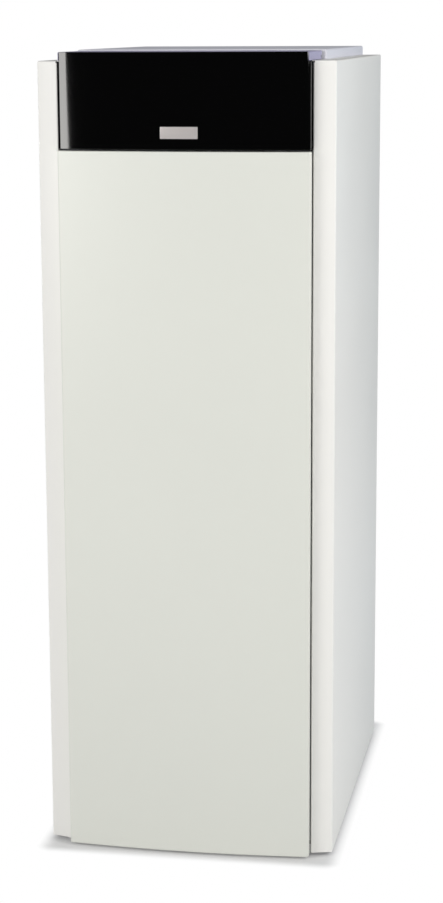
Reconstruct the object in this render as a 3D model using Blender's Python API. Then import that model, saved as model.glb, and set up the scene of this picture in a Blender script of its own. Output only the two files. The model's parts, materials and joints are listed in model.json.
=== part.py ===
"""Floor-standing oil combi boiler: casing, hinged door, console hood, boiler, burner and hot water tank.

Metres, +Z up, front towards -Y. The origin is the middle of the object's footprint, on the floor.
"""

import math

import bmesh
import bpy
from mathutils import Matrix, Vector

# Fits
SEAT = 0.0003
RUNNING_GAP = 0.0004
HOLE_GAP = 0.002
OVERRUN = 0.002
MERGE = 0.000001

# Casing
CASE_WIDTH = 0.600
BURNER_ROOM = 0.288
REAR_ROOM = 0.072
HEAD_ROOM = 0.434
FLOOR_GAP = 0.008
PANEL_SETBACK = 0.032
STUB_REACH = 0.038
CASE_SHEET = 0.0012
FACET_WIDTH = 0.0445
FACET_LEAD = 0.0133
FACET_RETURN = 0.012
PANEL_BEND = 0.0025
TOP_FLANGE = 0.047
REAR_RETURN = 0.025
FOLD_RELIEF = 0.004
VENT_COUNT = 10
VENT_WIDTH = 0.007
VENT_LENGTH = 0.070
VENT_PITCH = 0.016
VENT_RISE = 0.220
VENT_END_SHARE = 0.48

# Frame
FRAME_SHEET = 0.002
TRAY_Z = 0.030
TRAY_LIP = 0.040
TRAY_FRONT_GAP = 0.002
TRAY_CORNER = 0.003
POST_LEG = 0.040
POST_SIDE_GAP = 0.0002
SHELF_LIP = 0.020
SHELF_DEPTH = 0.142

# Levelling feet
FOOT_SIDE_INSET = 0.0635
FOOT_FRONT_INSET = 0.075
FOOT_REAR_INSET = 0.055
FOOT_PAD_RADIUS = 0.0225
FOOT_PAD_HEIGHT = 0.007
FOOT_NECK_RADIUS = 0.010
FOOT_NUT_WIDTH = 0.022
FOOT_NUT_HEIGHT = 0.009
FOOT_STUD_RADIUS = 0.005
FOOT_STUD_RISE = 0.022

# Front door and its hinges
DOOR_LIFT = 0.005
CONSOLE_BAND = 0.175
DOOR_DEPTH = 0.0185
DOOR_SIDE_GAP = 0.0015
DOOR_EDGE = 0.0022
DOOR_LIP = 0.015
DOOR_HEM = 0.0022
HINGE_INSET = 0.0115
HINGE_SETBACK = 0.0095
HINGE_LOW_Z = 0.180
HINGE_DROP = 0.180
PIN_RADIUS = 0.004
PIN_HEIGHT = 0.010
PIN_BEVEL = 0.001
BRACKET_PLATE = 0.0025
BRACKET_BOSS = 0.006
BRACKET_NECK = 0.009
BRACKET_REACH = 0.022
BRACKET_TAB = 0.040
LUG_HEIGHT = 0.008
LUG_REAR_GAP = 0.0065
LUG_WIDTH = 0.018
CATCH_WIDTH = 0.012
CATCH_HEIGHT = 0.050
CATCH_INSET = 0.0035

# Console hood with its black fascia
FLAP_GAP = 0.0035
FASCIA_HEIGHT = 0.189
FASCIA_WALL = 0.003
FASCIA_RETURN = 0.018
FASCIA_CORNER = 0.0075
FASCIA_NOTCH_HEIGHT = 0.0195
FASCIA_NOTCH_WIDTH = 0.0065
HOOD_SHEET = 0.0015
HOOD_INSET = 0.0035
HOOD_SKIRT = 0.017
HOOD_REAR = 0.184
HOOD_CORNER = 0.002
PIVOT_BACK = 0.172
PIVOT_DROP = 0.0115
PIVOT_RADIUS = 0.003
EAR_RADIUS = 0.008
EAR_THICKNESS = 0.0035
EAR_ROOT = 0.012
BADGE_WIDTH = 0.075
BADGE_HEIGHT = 0.0235
BADGE_THICKNESS = 0.0015
BADGE_X = -0.005
BADGE_DROP = 0.156
BADGE_CORNER = 0.001
BADGE_BEVEL = 0.0005

# Lid
LID_SIDE = 0.0415
LID_FRONT = 0.197
LID_BACK_INSET = 0.002
LID_HEIGHT = 0.0197
LID_EDGE = 0.003
LID_CORNER = 0.004

# Console
HOUSING_SIDE_GAP = 0.0065
HOUSING_SETBACK = 0.0415
HOUSING_DEPTH = 0.140
HOUSING_HEIGHT = 0.160
HOUSING_CORNER = 0.006
HOUSING_WALL = 0.003
PANEL_SHEET = 0.0015
PANEL_MARGIN = 0.001
PANEL_CORNER = 0.005
CONTROL_RISE = 0.088
SWITCH_SHARE = -0.80
SWITCH_WIDTH = 0.020
SWITCH_HEIGHT = 0.030
SWITCH_GAP = 0.0010
SWITCH_CROWN = 0.004
SWITCH_VALLEY = 0.0013
SWITCH_ROOT = 0.004
SWITCH_TILT = math.radians(8)
SWITCH_WAIST_SHARE = 0.75
DISPLAY_SHARE = -0.37
DISPLAY_WIDTH = 0.110
DISPLAY_HEIGHT = 0.046
DISPLAY_THICKNESS = 0.004
DISPLAY_CORNER = 0.006
DISPLAY_BEVEL = 0.0015
BOILER_KNOB_SHARE = 0.10
WATER_KNOB_SHARE = 0.39
KNOB_RADIUS = 0.019
KNOB_TIP_RADIUS = 0.0165
KNOB_HEIGHT = 0.015
KNOB_SKIRT_RADIUS = 0.022
KNOB_SKIRT = 0.003
KNOB_FLUTE = 0.0009
KNOB_SHAFT_RADIUS = 0.003
KNOB_EDGE = 0.001
GAUGE_SHARE = 0.74
GAUGE_RADIUS = 0.028
GAUGE_HEIGHT = 0.009
GAUGE_RIM = 0.003
GAUGE_LIP = 0.001
GAUGE_RECESS = 0.005
GAUGE_BORE = 0.0012
NEEDLE_LENGTH = 0.018
NEEDLE_TAIL = 0.006
NEEDLE_HUB = 0.0035
NEEDLE_HUB_ANGLE = math.radians(60)
NEEDLE_TIP = 0.0005
NEEDLE_THICKNESS = 0.001
NEEDLE_START_SHARE = -0.36

# Hot water tank and the stands
TANK_RADIUS = 0.215
TANK_LIFT = 0.031
TANK_HEADROOM = 0.067
TANK_FRONT_INSET = 0.110
TANK_REAR_GAP = 0.042
TANK_DISH = 0.060
TANK_NECK_RADIUS = 0.062
TANK_NECK = 0.012
COVER_RADIUS = 0.076
COVER_THICKNESS = 0.010
COVER_BOSS_RADIUS = 0.020
COVER_BOSS = 0.022
COVER_EDGE = 0.002
STAND_RIM = 0.021
STAND_PLATE = 0.004
STAND_FLANGE = 0.050
STAND_INSET = 0.045

# Boiler
BOILER_SIDE_ROOM = 0.0457
BOILER_DEPTH = 0.450
BOILER_HEIGHT = 0.640
BOILER_CORNER = 0.035
BOILER_EDGE = 0.012
CHAMBER_RADIUS = 0.060
CHAMBER_DEPTH = 0.160
PLATE_SIDE_MARGIN = 0.040
PLATE_TOP_MARGIN = 0.038
PLATE_THICKNESS = 0.014
PLATE_CORNER = 0.030
PLATE_BEVEL = 0.003
FLUE_RISE = 0.440
FLUE_RADIUS = 0.065
FLUE_WALL = 0.0025
FLUE_FLANGE_RADIUS = 0.085
FLUE_FLANGE = 0.006
FLUE_RECESS = 0.050

# Burner
BURNER_X = 0.060
SCROLL_STANDOFF = 0.120
SCROLL_RISE = 0.330
SCROLL_WIDTH = 0.078
SCROLL_WALL = 0.004
SCROLL_START = 0.068
SCROLL_END = 0.118
INTAKE_RADIUS = 0.045
SHAFT_HOLE_RADIUS = 0.010
DUCT_ROOT = 0.046
TONGUE_RISE = 0.062
DUCT_RADIUS = 0.045
DUCT_FLANGE_RADIUS = 0.066
DUCT_FLANGE = 0.008
DUCT_CORNER = 0.008
DUCT_SINK = 0.012
DUCT_SQUARE_SHARE = 1 / 3
TUBE_RADIUS = 0.040
TUBE_WALL = 0.002
TUBE_SOCKET = 0.014
TUBE_INSIDE = 0.090
FAN_RADIUS = 0.058
FAN_INNER = 0.044
FAN_WIDTH = 0.052
FAN_SIDE_GAP = 0.006
FAN_DISC = 0.002
FAN_RING = 0.002
FAN_RING_INNER = 0.0475
FAN_HUB_RADIUS = 0.014
FAN_HUB = 0.026
FAN_HUB_EDGE = 0.003
FAN_SHAFT_RADIUS = 0.006
FAN_SHAFT_DEPTH = 0.018
BLADE_COUNT = 22
BLADE_THICKNESS = 0.0014
BLADE_SWEEP_SHARE = 0.85
BLADE_SINK = 0.001
BLADE_TIP_INSET = 0.0005
MOTOR_RADIUS = 0.056
MOTOR_FIN = 0.005
MOTOR_LENGTH = 0.112
MOTOR_CAP = 0.014
MOTOR_CAP_RADIUS = 0.046
MOTOR_BORE_DEPTH = 0.022
MOTOR_FINS = 20
PUMP_SIZE = 0.062
PUMP_LENGTH = 0.046
PUMP_CORNER = 0.012
PUMP_SNOUT_RADIUS = 0.018
PUMP_SNOUT = 0.012
CONTROL_BOX_LENGTH = 0.096
CONTROL_BOX_DEPTH = 0.100
CONTROL_BOX_HEIGHT = 0.062
CONTROL_BOX_CORNER = 0.008
CONTROL_BOX_BEVEL = 0.003
BUTTON_RADIUS = 0.009
BUTTON_PROUD = 0.006
BUTTON_ROOT = 0.004
BUTTON_TRAVEL = 0.003
BUTTON_EDGE = 0.001

# Oil side
FILTER_HEAD = 0.030
FILTER_HEAD_HEIGHT = 0.026
FILTER_RISE = 0.080
FILTER_BOWL_RADIUS = 0.014
FILTER_BOWL = 0.060
FILTER_NECK = 0.011
FILTER_SETBACK = 0.0045
FILTER_CORNER = 0.00375
OIL_PIPE_RADIUS = 0.004
OIL_PIPE_SIDE = 0.0185
OIL_BEND = 0.015
OIL_RUN = 0.030

# Water side
PIPE_RADIUS = 0.014
PIPE_BEND = 0.030
FLOW_SIDE_ROOM = 0.080
FLOW_INSET = 0.160
FLOW_DROP = 0.114
RETURN_SIDE_ROOM = 0.060
RETURN_DROP = 0.194
RETURN_STANDOFF = 0.036
RETURN_ENTRY = 0.085
WATER_PIPE_RADIUS = 0.011
HOT_X = 0.100
HOT_RISE = 0.075
COLD_X = -0.100
COLD_DROP = 0.085
PUMP_BODY_RADIUS = 0.036
PUMP_BODY_DEPTH = 0.044
PUMP_HEAD_RADIUS = 0.043
PUMP_HEAD = 0.070
PUMP_HEAD_EDGE = 0.006
PUMP_PORT_LENGTH = 0.130
PUMP_PORT_RADIUS = 0.021
CHARGE_X = 0.095
CHARGE_STANDOFF = 0.095
CHARGE_ENTRY = 0.105
CHARGE_SINK = 0.016
VESSEL_X = -0.080
VESSEL_INSET = 0.205
VESSEL_RADIUS = 0.115
VESSEL_HEIGHT = 0.095
VESSEL_FOOT_RADIUS = 0.040
VESSEL_FOOT = 0.010
VESSEL_SEAM = 0.003
VESSEL_DISH = 0.005
VESSEL_DISH_SHARE = 0.85
VALVE_SIDE_ROOM = 0.080
VALVE_INSET = 0.100
VALVE_RADIUS = 0.016
VALVE_HEIGHT = 0.085
VALVE_CAP_RADIUS = 0.022
VALVE_CAP = 0.024
VALVE_NECK_RADIUS = 0.011
DRAIN_SIDE_ROOM = 0.060
DRAIN_RISE = 0.055
DRAIN_RADIUS = 0.012
DRAIN_NECK_RADIUS = 0.008
DRAIN_LENGTH = 0.070
DRAIN_STEM_RADIUS = 0.005
DRAIN_STEM = 0.010
LEVER_LENGTH = 0.055
LEVER_WIDTH = 0.012
LEVER_THICKNESS = 0.003
LEVER_STEM_DEPTH = 0.004
LEVER_EYE_RADIUS = 0.0072
LEVER_NECK_ANGLE = math.radians(30)
GLAND_SIDE_ROOM = 0.0985
GLAND_DROP = 0.334
GLAND_RADIUS = 0.010
GLAND_BORE = 0.0055
GLAND_NUT_WIDTH = 0.027
GLAND_NUT = 0.006
GLAND_REACH = 0.016
GLAND_DOME_RADIUS = 0.009

# Facets of round shapes
ROUND = 28
MIDDLE_ROUND = 24
SMALL_ROUND = 16
TANK_ROUND = 44
SCROLL_ROUND = 36
BLOCK_STEPS = ROUND // 4 - 1
HEXAGON_SIDES = 6
HEXAGON_STEPS = 4
DISH_STEPS = 3
VENT_STEPS = 2
BOSS_STEPS = 12
PIPE_STEPS = 4
BLADE_STEPS = 3
BEND_STEPS = 3
CORNER_STEPS = 3
SMALL_STEPS = 2
END_STEPS = 4
EAR_STEPS = 8
EYE_STEPS = 10
PIPE_SMOOTHNESS = 3
SMOOTH_ANGLE = math.radians(35)

# Places that follow from the sizes above
HALF_WIDTH = CASE_WIDTH / 2
PANEL_DEPTH = BURNER_ROOM + BOILER_DEPTH + REAR_ROOM
TOTAL_DEPTH = PANEL_SETBACK + PANEL_DEPTH + STUB_REACH
FRONT_Y = -TOTAL_DEPTH / 2
REAR_Y = TOTAL_DEPTH / 2
PANEL_FRONT_Y = FRONT_Y + PANEL_SETBACK
PANEL_BACK_Y = PANEL_FRONT_Y + PANEL_DEPTH
FACET_X = HALF_WIDTH - FACET_WIDTH
FACET_Y = PANEL_FRONT_Y - FACET_LEAD
REAR_PANEL_BACK_Y = PANEL_BACK_Y - CASE_SHEET - SEAT
REAR_PANEL_FRONT_Y = REAR_PANEL_BACK_Y - CASE_SHEET
INNER_HALF_WIDTH = HALF_WIDTH - CASE_SHEET - SEAT
TRAY_FRONT_Y = FACET_Y + FACET_RETURN + TRAY_FRONT_GAP
TRAY_BACK_Y = REAR_PANEL_FRONT_Y - SEAT
TRAY_FLOOR_Z = TRAY_Z + FRAME_SHEET
TANK_Z = TRAY_FLOOR_Z + TANK_LIFT + TANK_RADIUS
TANK_FRONT_Y = FRONT_Y + TANK_FRONT_INSET
TANK_BACK_Y = PANEL_BACK_Y - TANK_REAR_GAP
BOILER_BASE_Z = TANK_Z + TANK_RADIUS + TANK_HEADROOM
BOILER_TOP_Z = BOILER_BASE_Z + BOILER_HEIGHT
BOILER_FRONT_Y = PANEL_FRONT_Y + BURNER_ROOM
BOILER_BACK_Y = BOILER_FRONT_Y + BOILER_DEPTH
PANEL_TOP_Z = BOILER_TOP_Z + HEAD_ROOM
LID_Z = PANEL_TOP_Z + SEAT
POST_X = FACET_X + POST_SIDE_GAP
POST_FRONT_Y = TRAY_FRONT_Y + FRAME_SHEET + SEAT
DOOR_HALF_WIDTH = FACET_X - DOOR_SIDE_GAP
DOOR_TOP_Z = PANEL_TOP_Z - CONSOLE_BAND
DOOR_BACK_Y = FRONT_Y + DOOR_DEPTH
SHELF_TOP_Z = DOOR_TOP_Z
SHELF_BACK_Y = POST_FRONT_Y + SHELF_DEPTH
FLAP_Z = DOOR_TOP_Z + FLAP_GAP
FLAP_TOP_Z = FLAP_Z + FASCIA_HEIGHT
HINGE_X = -DOOR_HALF_WIDTH + HINGE_INSET
HINGE_Y = FRONT_Y + HINGE_SETBACK
HINGE_HIGH_Z = DOOR_TOP_Z - HINGE_DROP
CATCH_Z = (DOOR_LIFT + DOOR_TOP_Z - CATCH_HEIGHT) / 2
PIVOT_Y = FRONT_Y + PIVOT_BACK
PIVOT_Z = FLAP_TOP_Z - PIVOT_DROP
HOOD_HALF_WIDTH = DOOR_HALF_WIDTH - HOOD_INSET
HOUSING_HALF_WIDTH = HOOD_HALF_WIDTH - HOUSING_SIDE_GAP
HOUSING_FRONT_Y = FRONT_Y + HOUSING_SETBACK
HOUSING_Z = SHELF_TOP_Z + SEAT
HOUSING_TOP_Z = HOUSING_Z + HOUSING_HEIGHT
CONTROL_BACK_Y = HOUSING_FRONT_Y - SEAT
CONTROL_FRONT_Y = CONTROL_BACK_Y - PANEL_SHEET
CONTROL_Z = HOUSING_Z + CONTROL_RISE
SWITCH_X = HOUSING_HALF_WIDTH * SWITCH_SHARE
DISPLAY_X = HOUSING_HALF_WIDTH * DISPLAY_SHARE
BOILER_KNOB_X = HOUSING_HALF_WIDTH * BOILER_KNOB_SHARE
WATER_KNOB_X = HOUSING_HALF_WIDTH * WATER_KNOB_SHARE
GAUGE_X = HOUSING_HALF_WIDTH * GAUGE_SHARE
FOOT_X = INNER_HALF_WIDTH - FOOT_SIDE_INSET
STAND_HALF_WIDTH = TANK_RADIUS + STAND_RIM
BOILER_HALF_WIDTH = POST_X - BOILER_SIDE_ROOM
DRAIN_X = DRAIN_SIDE_ROOM - BOILER_HALF_WIDTH
FLUE_Z = BOILER_BASE_Z + FLUE_RISE
VENT_Z = BOILER_BASE_Z + VENT_RISE
SCROLL_Y = BOILER_FRONT_Y - SCROLL_STANDOFF
SCROLL_Z = BOILER_BASE_Z + SCROLL_RISE
PLATE_FRONT_Y = BOILER_FRONT_Y - SEAT - PLATE_THICKNESS
DUCT_BACK_Y = PLATE_FRONT_Y - SEAT
TUBE_Z = SCROLL_Z + (DUCT_ROOT + SCROLL_END) / 2
MOTOR_X = BURNER_X - SCROLL_WIDTH / 2 - SEAT
PUMP_X = MOTOR_X - MOTOR_LENGTH - SEAT
FAN_X = BURNER_X - SCROLL_WIDTH / 2 + SCROLL_WALL + FAN_SIDE_GAP
CHARGE_Y = BOILER_FRONT_Y - CHARGE_STANDOFF
CHARGE_Z = TANK_Z + math.sqrt(TANK_RADIUS ** 2 - CHARGE_X ** 2)
FILTER_X = -POST_X + FRAME_SHEET + SEAT
FILTER_Y = POST_FRONT_Y + FILTER_SETBACK
FILTER_Z = BOILER_BASE_Z + FILTER_RISE
FLOW_X = BOILER_HALF_WIDTH - FLOW_SIDE_ROOM
FLOW_Y = BOILER_BACK_Y - FLOW_INSET
FLOW_Z = PANEL_TOP_Z - FLOW_DROP
RETURN_X = RETURN_SIDE_ROOM - BOILER_HALF_WIDTH
RETURN_Z = PANEL_TOP_Z - RETURN_DROP
RETURN_DROP_Y = BOILER_BACK_Y + RETURN_STANDOFF
VESSEL_Y = BOILER_FRONT_Y + VESSEL_INSET
VALVE_X = BOILER_HALF_WIDTH - VALVE_SIDE_ROOM
VALVE_Y = BOILER_FRONT_Y + VALVE_INSET
GLAND_X = INNER_HALF_WIDTH - GLAND_SIDE_ROOM
GLAND_Z = PANEL_TOP_Z - GLAND_DROP


# Scene and materials
def clear_scene():
    for item in list(bpy.data.objects):
        bpy.data.objects.remove(item, do_unlink=True)


def finish(name, colour, roughness, metallic=0.0):
    made = bpy.data.materials.new(name)
    made.use_nodes = True
    shader = made.node_tree.nodes["Principled BSDF"]
    shader.inputs["Base Color"].default_value = (*colour, 1.0)
    shader.inputs["Roughness"].default_value = roughness
    shader.inputs["Metallic"].default_value = metallic
    made.diffuse_color = (*colour, 1.0)
    return made


def hinge_point(name, at):
    empty = bpy.data.objects.new(name, None)
    empty.location = at
    bpy.context.scene.collection.objects.link(empty)
    return empty


def put(name, mesh, material, at=(0, 0, 0), turn=(0, 0, 0), carrier=None):
    """One node: its mesh is in its own coordinates and its place is in the world."""
    item = bpy.data.objects.new(name, mesh)
    bpy.context.scene.collection.objects.link(item)
    item.location = Vector(at)
    item.rotation_euler = turn
    if carrier:
        item.parent = carrier
        item.location = Vector(at) - carrier.location
    if material and not mesh.materials:
        mesh.materials.append(material)
    mesh.shade_smooth()
    mesh.set_sharp_from_angle(angle=SMOOTH_ANGLE)
    return item


def put_moving(name, mesh, material, carrier):
    """A mesh drawn in the world's coordinates, with its origin on the joint that carries it."""
    mesh.transform(Matrix.Translation(-carrier.location))
    return put(name, mesh, material, carrier.location, carrier=carrier)


def helper(name, mesh, at=(0, 0, 0), turn=(0, 0, 0), carrier=None):
    item = put(name, mesh, None, at, turn, carrier)
    item.hide_render = True
    item.display_type = "WIRE"
    return item


def combine(item, other, operation):
    step = item.modifiers.new(operation.lower(), "BOOLEAN")
    step.operation = operation
    step.solver = "EXACT"
    step.object = other


def cut(item, other):
    combine(item, other, "DIFFERENCE")


def fuse(item, other):
    combine(item, other, "UNION")


# Outlines in a plane
def arc(centre, radius, start, end, steps):
    turn = (end - start) / steps
    angles = [start + i * turn for i in range(steps + 1)]
    return [(centre[0] + radius * math.cos(a), centre[1] + radius * math.sin(a)) for a in angles]


def circle(radius, count=ROUND, centre=(0, 0)):
    return arc(centre, radius, 0, math.tau * (count - 1) / count, count - 1)


def fluted(radius, depth, count):
    """A circle whose every second point is drawn in by this depth."""
    low = circle(radius - depth, count)
    return [low[i] if i % 2 else point for i, point in enumerate(circle(radius, count))]


def rounded(left, right, low, high, radius, steps=CORNER_STEPS):
    corners = (
        ((right - radius, high - radius), 0),
        ((left + radius, high - radius), math.pi / 2),
        ((left + radius, low + radius), math.pi),
        ((right - radius, low + radius), -math.pi / 2),
    )
    points = []
    for centre, start in corners:
        points += arc(centre, radius, start, start + math.pi / 2, steps)
    return points


def hexagon(width):
    """A hexagon of this width across its flats, with points along each side."""
    corner_radius = width / 2 / math.cos(math.pi / HEXAGON_SIDES)
    tips = [Vector(tip) for tip in circle(corner_radius, HEXAGON_SIDES)]
    points = []
    for tip, following in zip(tips, tips[1:] + tips[:1]):
        points += [tuple(tip.lerp(following, step / HEXAGON_STEPS)) for step in range(HEXAGON_STEPS)]
    return points


def filleted(points, radius, steps=BEND_STEPS):
    """The open path through these points with each inner corner turned into an arc of this radius."""
    path = [Vector(points[0])]
    for before, corner, after in zip(points, points[1:], points[2:]):
        corner = Vector(corner)
        inward = (Vector(before) - corner).normalized()
        outward = (Vector(after) - corner).normalized()
        half = inward.angle(outward) / 2
        reach = radius / math.tan(half)
        centre = corner + (inward + outward).normalized() * (radius / math.sin(half))
        first = corner + inward * reach - centre
        last = corner + outward * reach - centre
        for step in range(steps + 1):
            spoke = first.to_3d().slerp(last.to_3d(), step / steps) * radius
            spoke.resize(len(centre))
            path.append(centre + spoke)
    path.append(Vector(points[-1]))
    return path


# Meshes
def mesh_from(bm, name="shape"):
    bmesh.ops.remove_doubles(bm, verts=bm.verts, dist=MERGE)
    bmesh.ops.recalc_face_normals(bm, faces=bm.faces)
    mesh = bpy.data.meshes.new(name)
    bm.to_mesh(mesh)
    bm.free()
    return mesh


def along(axis, outline, level):
    """The outline in space at this level: X takes (y, z), Y takes (x, z), Z takes (x, y)."""
    if axis == "X":
        return [(level, u, v) for u, v in outline]
    if axis == "Y":
        return [(u, level, v) for u, v in outline]
    return [(u, v, level) for u, v in outline]


def loft(rings, closed=False):
    """A skin through rings with the same number of points, capped at both ends or closed onto itself."""
    bm = bmesh.new()
    rows = [[bm.verts.new(point) for point in ring] for ring in rings]
    pairs = list(zip(rows, rows[1:]))
    if closed:
        pairs.append((rows[-1], rows[0]))
    else:
        bm.faces.new(rows[0])
        bm.faces.new(rows[-1])
    for row, following in pairs:
        for i in range(len(row)):
            j = (i + 1) % len(row)
            bm.faces.new((row[i], row[j], following[j], following[i]))
    return mesh_from(bm)


def turned(axis, profile, count=ROUND, closed=False):
    """A turned shape: the profile gives (radius, level along the axis) from one end to the other."""
    return loft([along(axis, circle(radius, count), level) for radius, level in profile], closed)


def box(low, high):
    bm = bmesh.new()
    bmesh.ops.create_cube(bm, size=1)
    size = Vector(high) - Vector(low)
    middle = (Vector(high) + Vector(low)) / 2
    bm.transform(Matrix.Translation(middle) @ Matrix.Diagonal((*size, 1)))
    return mesh_from(bm)


def plate(outline, holes, thickness):
    """A flat plate with holes, lying in XY and centred on its thickness."""
    curve = bpy.data.curves.new("outline", "CURVE")
    curve.dimensions = "2D"
    curve.fill_mode = "BOTH"
    curve.extrude = thickness / 2
    for ring in (outline, *holes):
        spline = curve.splines.new("POLY")
        spline.points.add(len(ring) - 1)
        for point, place in zip(spline.points, ring):
            point.co = (*place, 0, 1)
        spline.use_cyclic_u = True
    guide = bpy.data.objects.new("outline", curve)
    bm = bmesh.new()
    bm.from_mesh(bpy.data.meshes.new_from_object(guide))
    bpy.data.objects.remove(guide)
    return mesh_from(bm)


def pipe(name, route, radius, bend, material):
    """A bent pipe with closed ends."""
    path = filleted(route, bend, PIPE_STEPS) if len(route) > 2 else [Vector(point) for point in route]
    curve = bpy.data.curves.new(name, "CURVE")
    curve.dimensions = "3D"
    curve.bevel_depth = radius
    curve.bevel_resolution = PIPE_SMOOTHNESS
    curve.use_fill_caps = True
    curve.render_resolution_u = 0
    spline = curve.splines.new("POLY")
    spline.points.add(len(path) - 1)
    for point, place in zip(spline.points, path):
        point.co = (*place, 1)
    item = bpy.data.objects.new(name, curve)
    bpy.context.scene.collection.objects.link(item)
    curve.materials.append(material)
    return item


UPRIGHT = (math.pi / 2, 0, 0)


# Casing
def side_panel(side, material):
    plan = filleted(
        [
            (FACET_X, FACET_Y + FACET_RETURN),
            (FACET_X, FACET_Y),
            (HALF_WIDTH, PANEL_FRONT_Y),
            (HALF_WIDTH, PANEL_BACK_Y),
            (HALF_WIDTH - REAR_RETURN, PANEL_BACK_Y),
        ],
        PANEL_BEND,
    )
    first = BEND_STEPS + 1
    last = len(plan) - 1 - (BEND_STEPS + 1)
    bm = bmesh.new()
    low = [bm.verts.new((x, y, FLOOR_GAP)) for x, y in plan]
    high = {i: bm.verts.new((*plan[i], PANEL_TOP_Z)) for i in range(first, last + 1)}
    relief = {
        i: bm.verts.new((*plan[i], PANEL_TOP_Z - FOLD_RELIEF))
        for i in range(len(plan))
        if i <= first or i >= last
    }
    for i in range(len(plan) - 1):
        corners = [low[i], low[i + 1]]
        if i + 1 <= first or i >= last:
            corners += [relief[i + 1], relief[i]]
        else:
            corners += [relief[i + 1]] if i + 1 == last else []
            corners += [high[i + 1], high[i]]
            corners += [relief[i]] if i == first else []
        bm.faces.new(corners)
    inner_x = HALF_WIDTH - TOP_FLANGE
    rim = [high[i] for i in range(first, last + 1)]
    rim.append(bm.verts.new((inner_x, plan[last][1], PANEL_TOP_Z)))
    rim.append(bm.verts.new((inner_x, plan[first][1], PANEL_TOP_Z)))
    bm.faces.new(rim)
    if side < 0:
        bmesh.ops.scale(bm, vec=(-1, 1, 1), verts=bm.verts)
        bmesh.ops.reverse_faces(bm, faces=bm.faces)
    mesh = bpy.data.meshes.new("side_panel")
    bm.to_mesh(mesh)
    bm.free()
    item = put("side_panel_right" if side > 0 else "side_panel_left", mesh, material)
    wall = item.modifiers.new("sheet", "SOLIDIFY")
    wall.thickness = CASE_SHEET
    wall.offset = -1
    wall.use_even_offset = True


def rear_panel(material):
    half = INNER_HALF_WIDTH - PANEL_BEND / 2
    outline = rounded(-half, half, FLOOR_GAP, PANEL_TOP_Z - CASE_SHEET - SEAT, TRAY_CORNER, 1)
    holes = [
        circle(FLUE_RADIUS + HOLE_GAP, ROUND, (0, FLUE_Z)),
        circle(PIPE_RADIUS + HOLE_GAP, SMALL_ROUND, (FLOW_X, FLOW_Z)),
        circle(PIPE_RADIUS + HOLE_GAP, SMALL_ROUND, (RETURN_X, RETURN_Z)),
        *(circle(WATER_PIPE_RADIUS + HOLE_GAP, SMALL_ROUND, (x, z)) for _, x, z in tank_pipes()),
        circle(OIL_PIPE_RADIUS + HOLE_GAP, SMALL_ROUND, (-POST_X + OIL_PIPE_SIDE, FILTER_Z)),
        circle(GLAND_RADIUS + SEAT, SMALL_ROUND, (GLAND_X, GLAND_Z)),
    ]
    for i in range(VENT_COUNT):
        middle = (i - (VENT_COUNT - 1) / 2) * VENT_PITCH
        left = middle - VENT_WIDTH / 2
        right = middle + VENT_WIDTH / 2
        end_radius = VENT_WIDTH * VENT_END_SHARE
        holes.append(rounded(left, right, VENT_Z, VENT_Z + VENT_LENGTH, end_radius, VENT_STEPS))
    middle_y = (REAR_PANEL_BACK_Y + REAR_PANEL_FRONT_Y) / 2
    put("rear_panel", plate(outline, holes, CASE_SHEET), material, (0, middle_y, 0), UPRIGHT)


def base_tray(material):
    def ring(inset, level):
        half = INNER_HALF_WIDTH - inset
        front = TRAY_FRONT_Y + inset
        back = TRAY_BACK_Y - inset
        return along("Z", rounded(-half, half, front, back, TRAY_CORNER - inset), level)

    top = TRAY_Z + TRAY_LIP
    rings = [ring(0, TRAY_Z), ring(0, top), ring(FRAME_SHEET, top), ring(FRAME_SHEET, TRAY_FLOOR_Z)]
    tray = put("base_tray", loft(rings), material)
    for name, x, y in foot_places():
        hole = turned("Z", [
            (FOOT_STUD_RADIUS + RUNNING_GAP, TRAY_Z - OVERRUN),
            (FOOT_STUD_RADIUS + RUNNING_GAP, TRAY_FLOOR_Z + OVERRUN),
        ], SMALL_ROUND)
        cut(tray, helper(name + "_hole", hole, (x, y, 0)))


def frame_post(side, material):
    """An upright angle: one leg faces the front, the other runs back beside the panel."""
    outer = side * POST_X
    plan = [
        (outer, POST_FRONT_Y),
        (outer - side * POST_LEG, POST_FRONT_Y),
        (outer - side * POST_LEG, POST_FRONT_Y + FRAME_SHEET),
        (outer - side * FRAME_SHEET, POST_FRONT_Y + FRAME_SHEET),
        (outer - side * FRAME_SHEET, POST_FRONT_Y + POST_LEG),
        (outer, POST_FRONT_Y + POST_LEG),
    ]
    low = TRAY_FLOOR_Z + SEAT
    high = SHELF_TOP_Z - FRAME_SHEET - SEAT
    name = "frame_post_right" if side > 0 else "frame_post_left"
    put(name, loft([along("Z", plan, low), along("Z", plan, high)]), material)


def console_shelf(material):
    """A shelf with its front and rear edges folded down, on top of the posts."""
    front = POST_FRONT_Y - FRAME_SHEET - SEAT
    section = [
        (front, SHELF_TOP_Z - SHELF_LIP),
        (front, SHELF_TOP_Z),
        (SHELF_BACK_Y, SHELF_TOP_Z),
        (SHELF_BACK_Y, SHELF_TOP_Z - SHELF_LIP),
        (SHELF_BACK_Y - FRAME_SHEET, SHELF_TOP_Z - SHELF_LIP),
        (SHELF_BACK_Y - FRAME_SHEET, SHELF_TOP_Z - FRAME_SHEET),
        (front + FRAME_SHEET, SHELF_TOP_Z - FRAME_SHEET),
        (front + FRAME_SHEET, SHELF_TOP_Z - SHELF_LIP),
    ]
    rings = [along("X", section, -FACET_X), along("X", section, FACET_X)]
    put("console_shelf", loft(rings), material)


# Levelling feet
def foot_places():
    front = TRAY_FRONT_Y + FOOT_FRONT_INSET
    rear = TRAY_BACK_Y - FOOT_REAR_INSET
    return [
        ("foot_front_left", -FOOT_X, front),
        ("foot_front_right", FOOT_X, front),
        ("foot_rear_left", -FOOT_X, rear),
        ("foot_rear_right", FOOT_X, rear),
    ]


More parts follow.
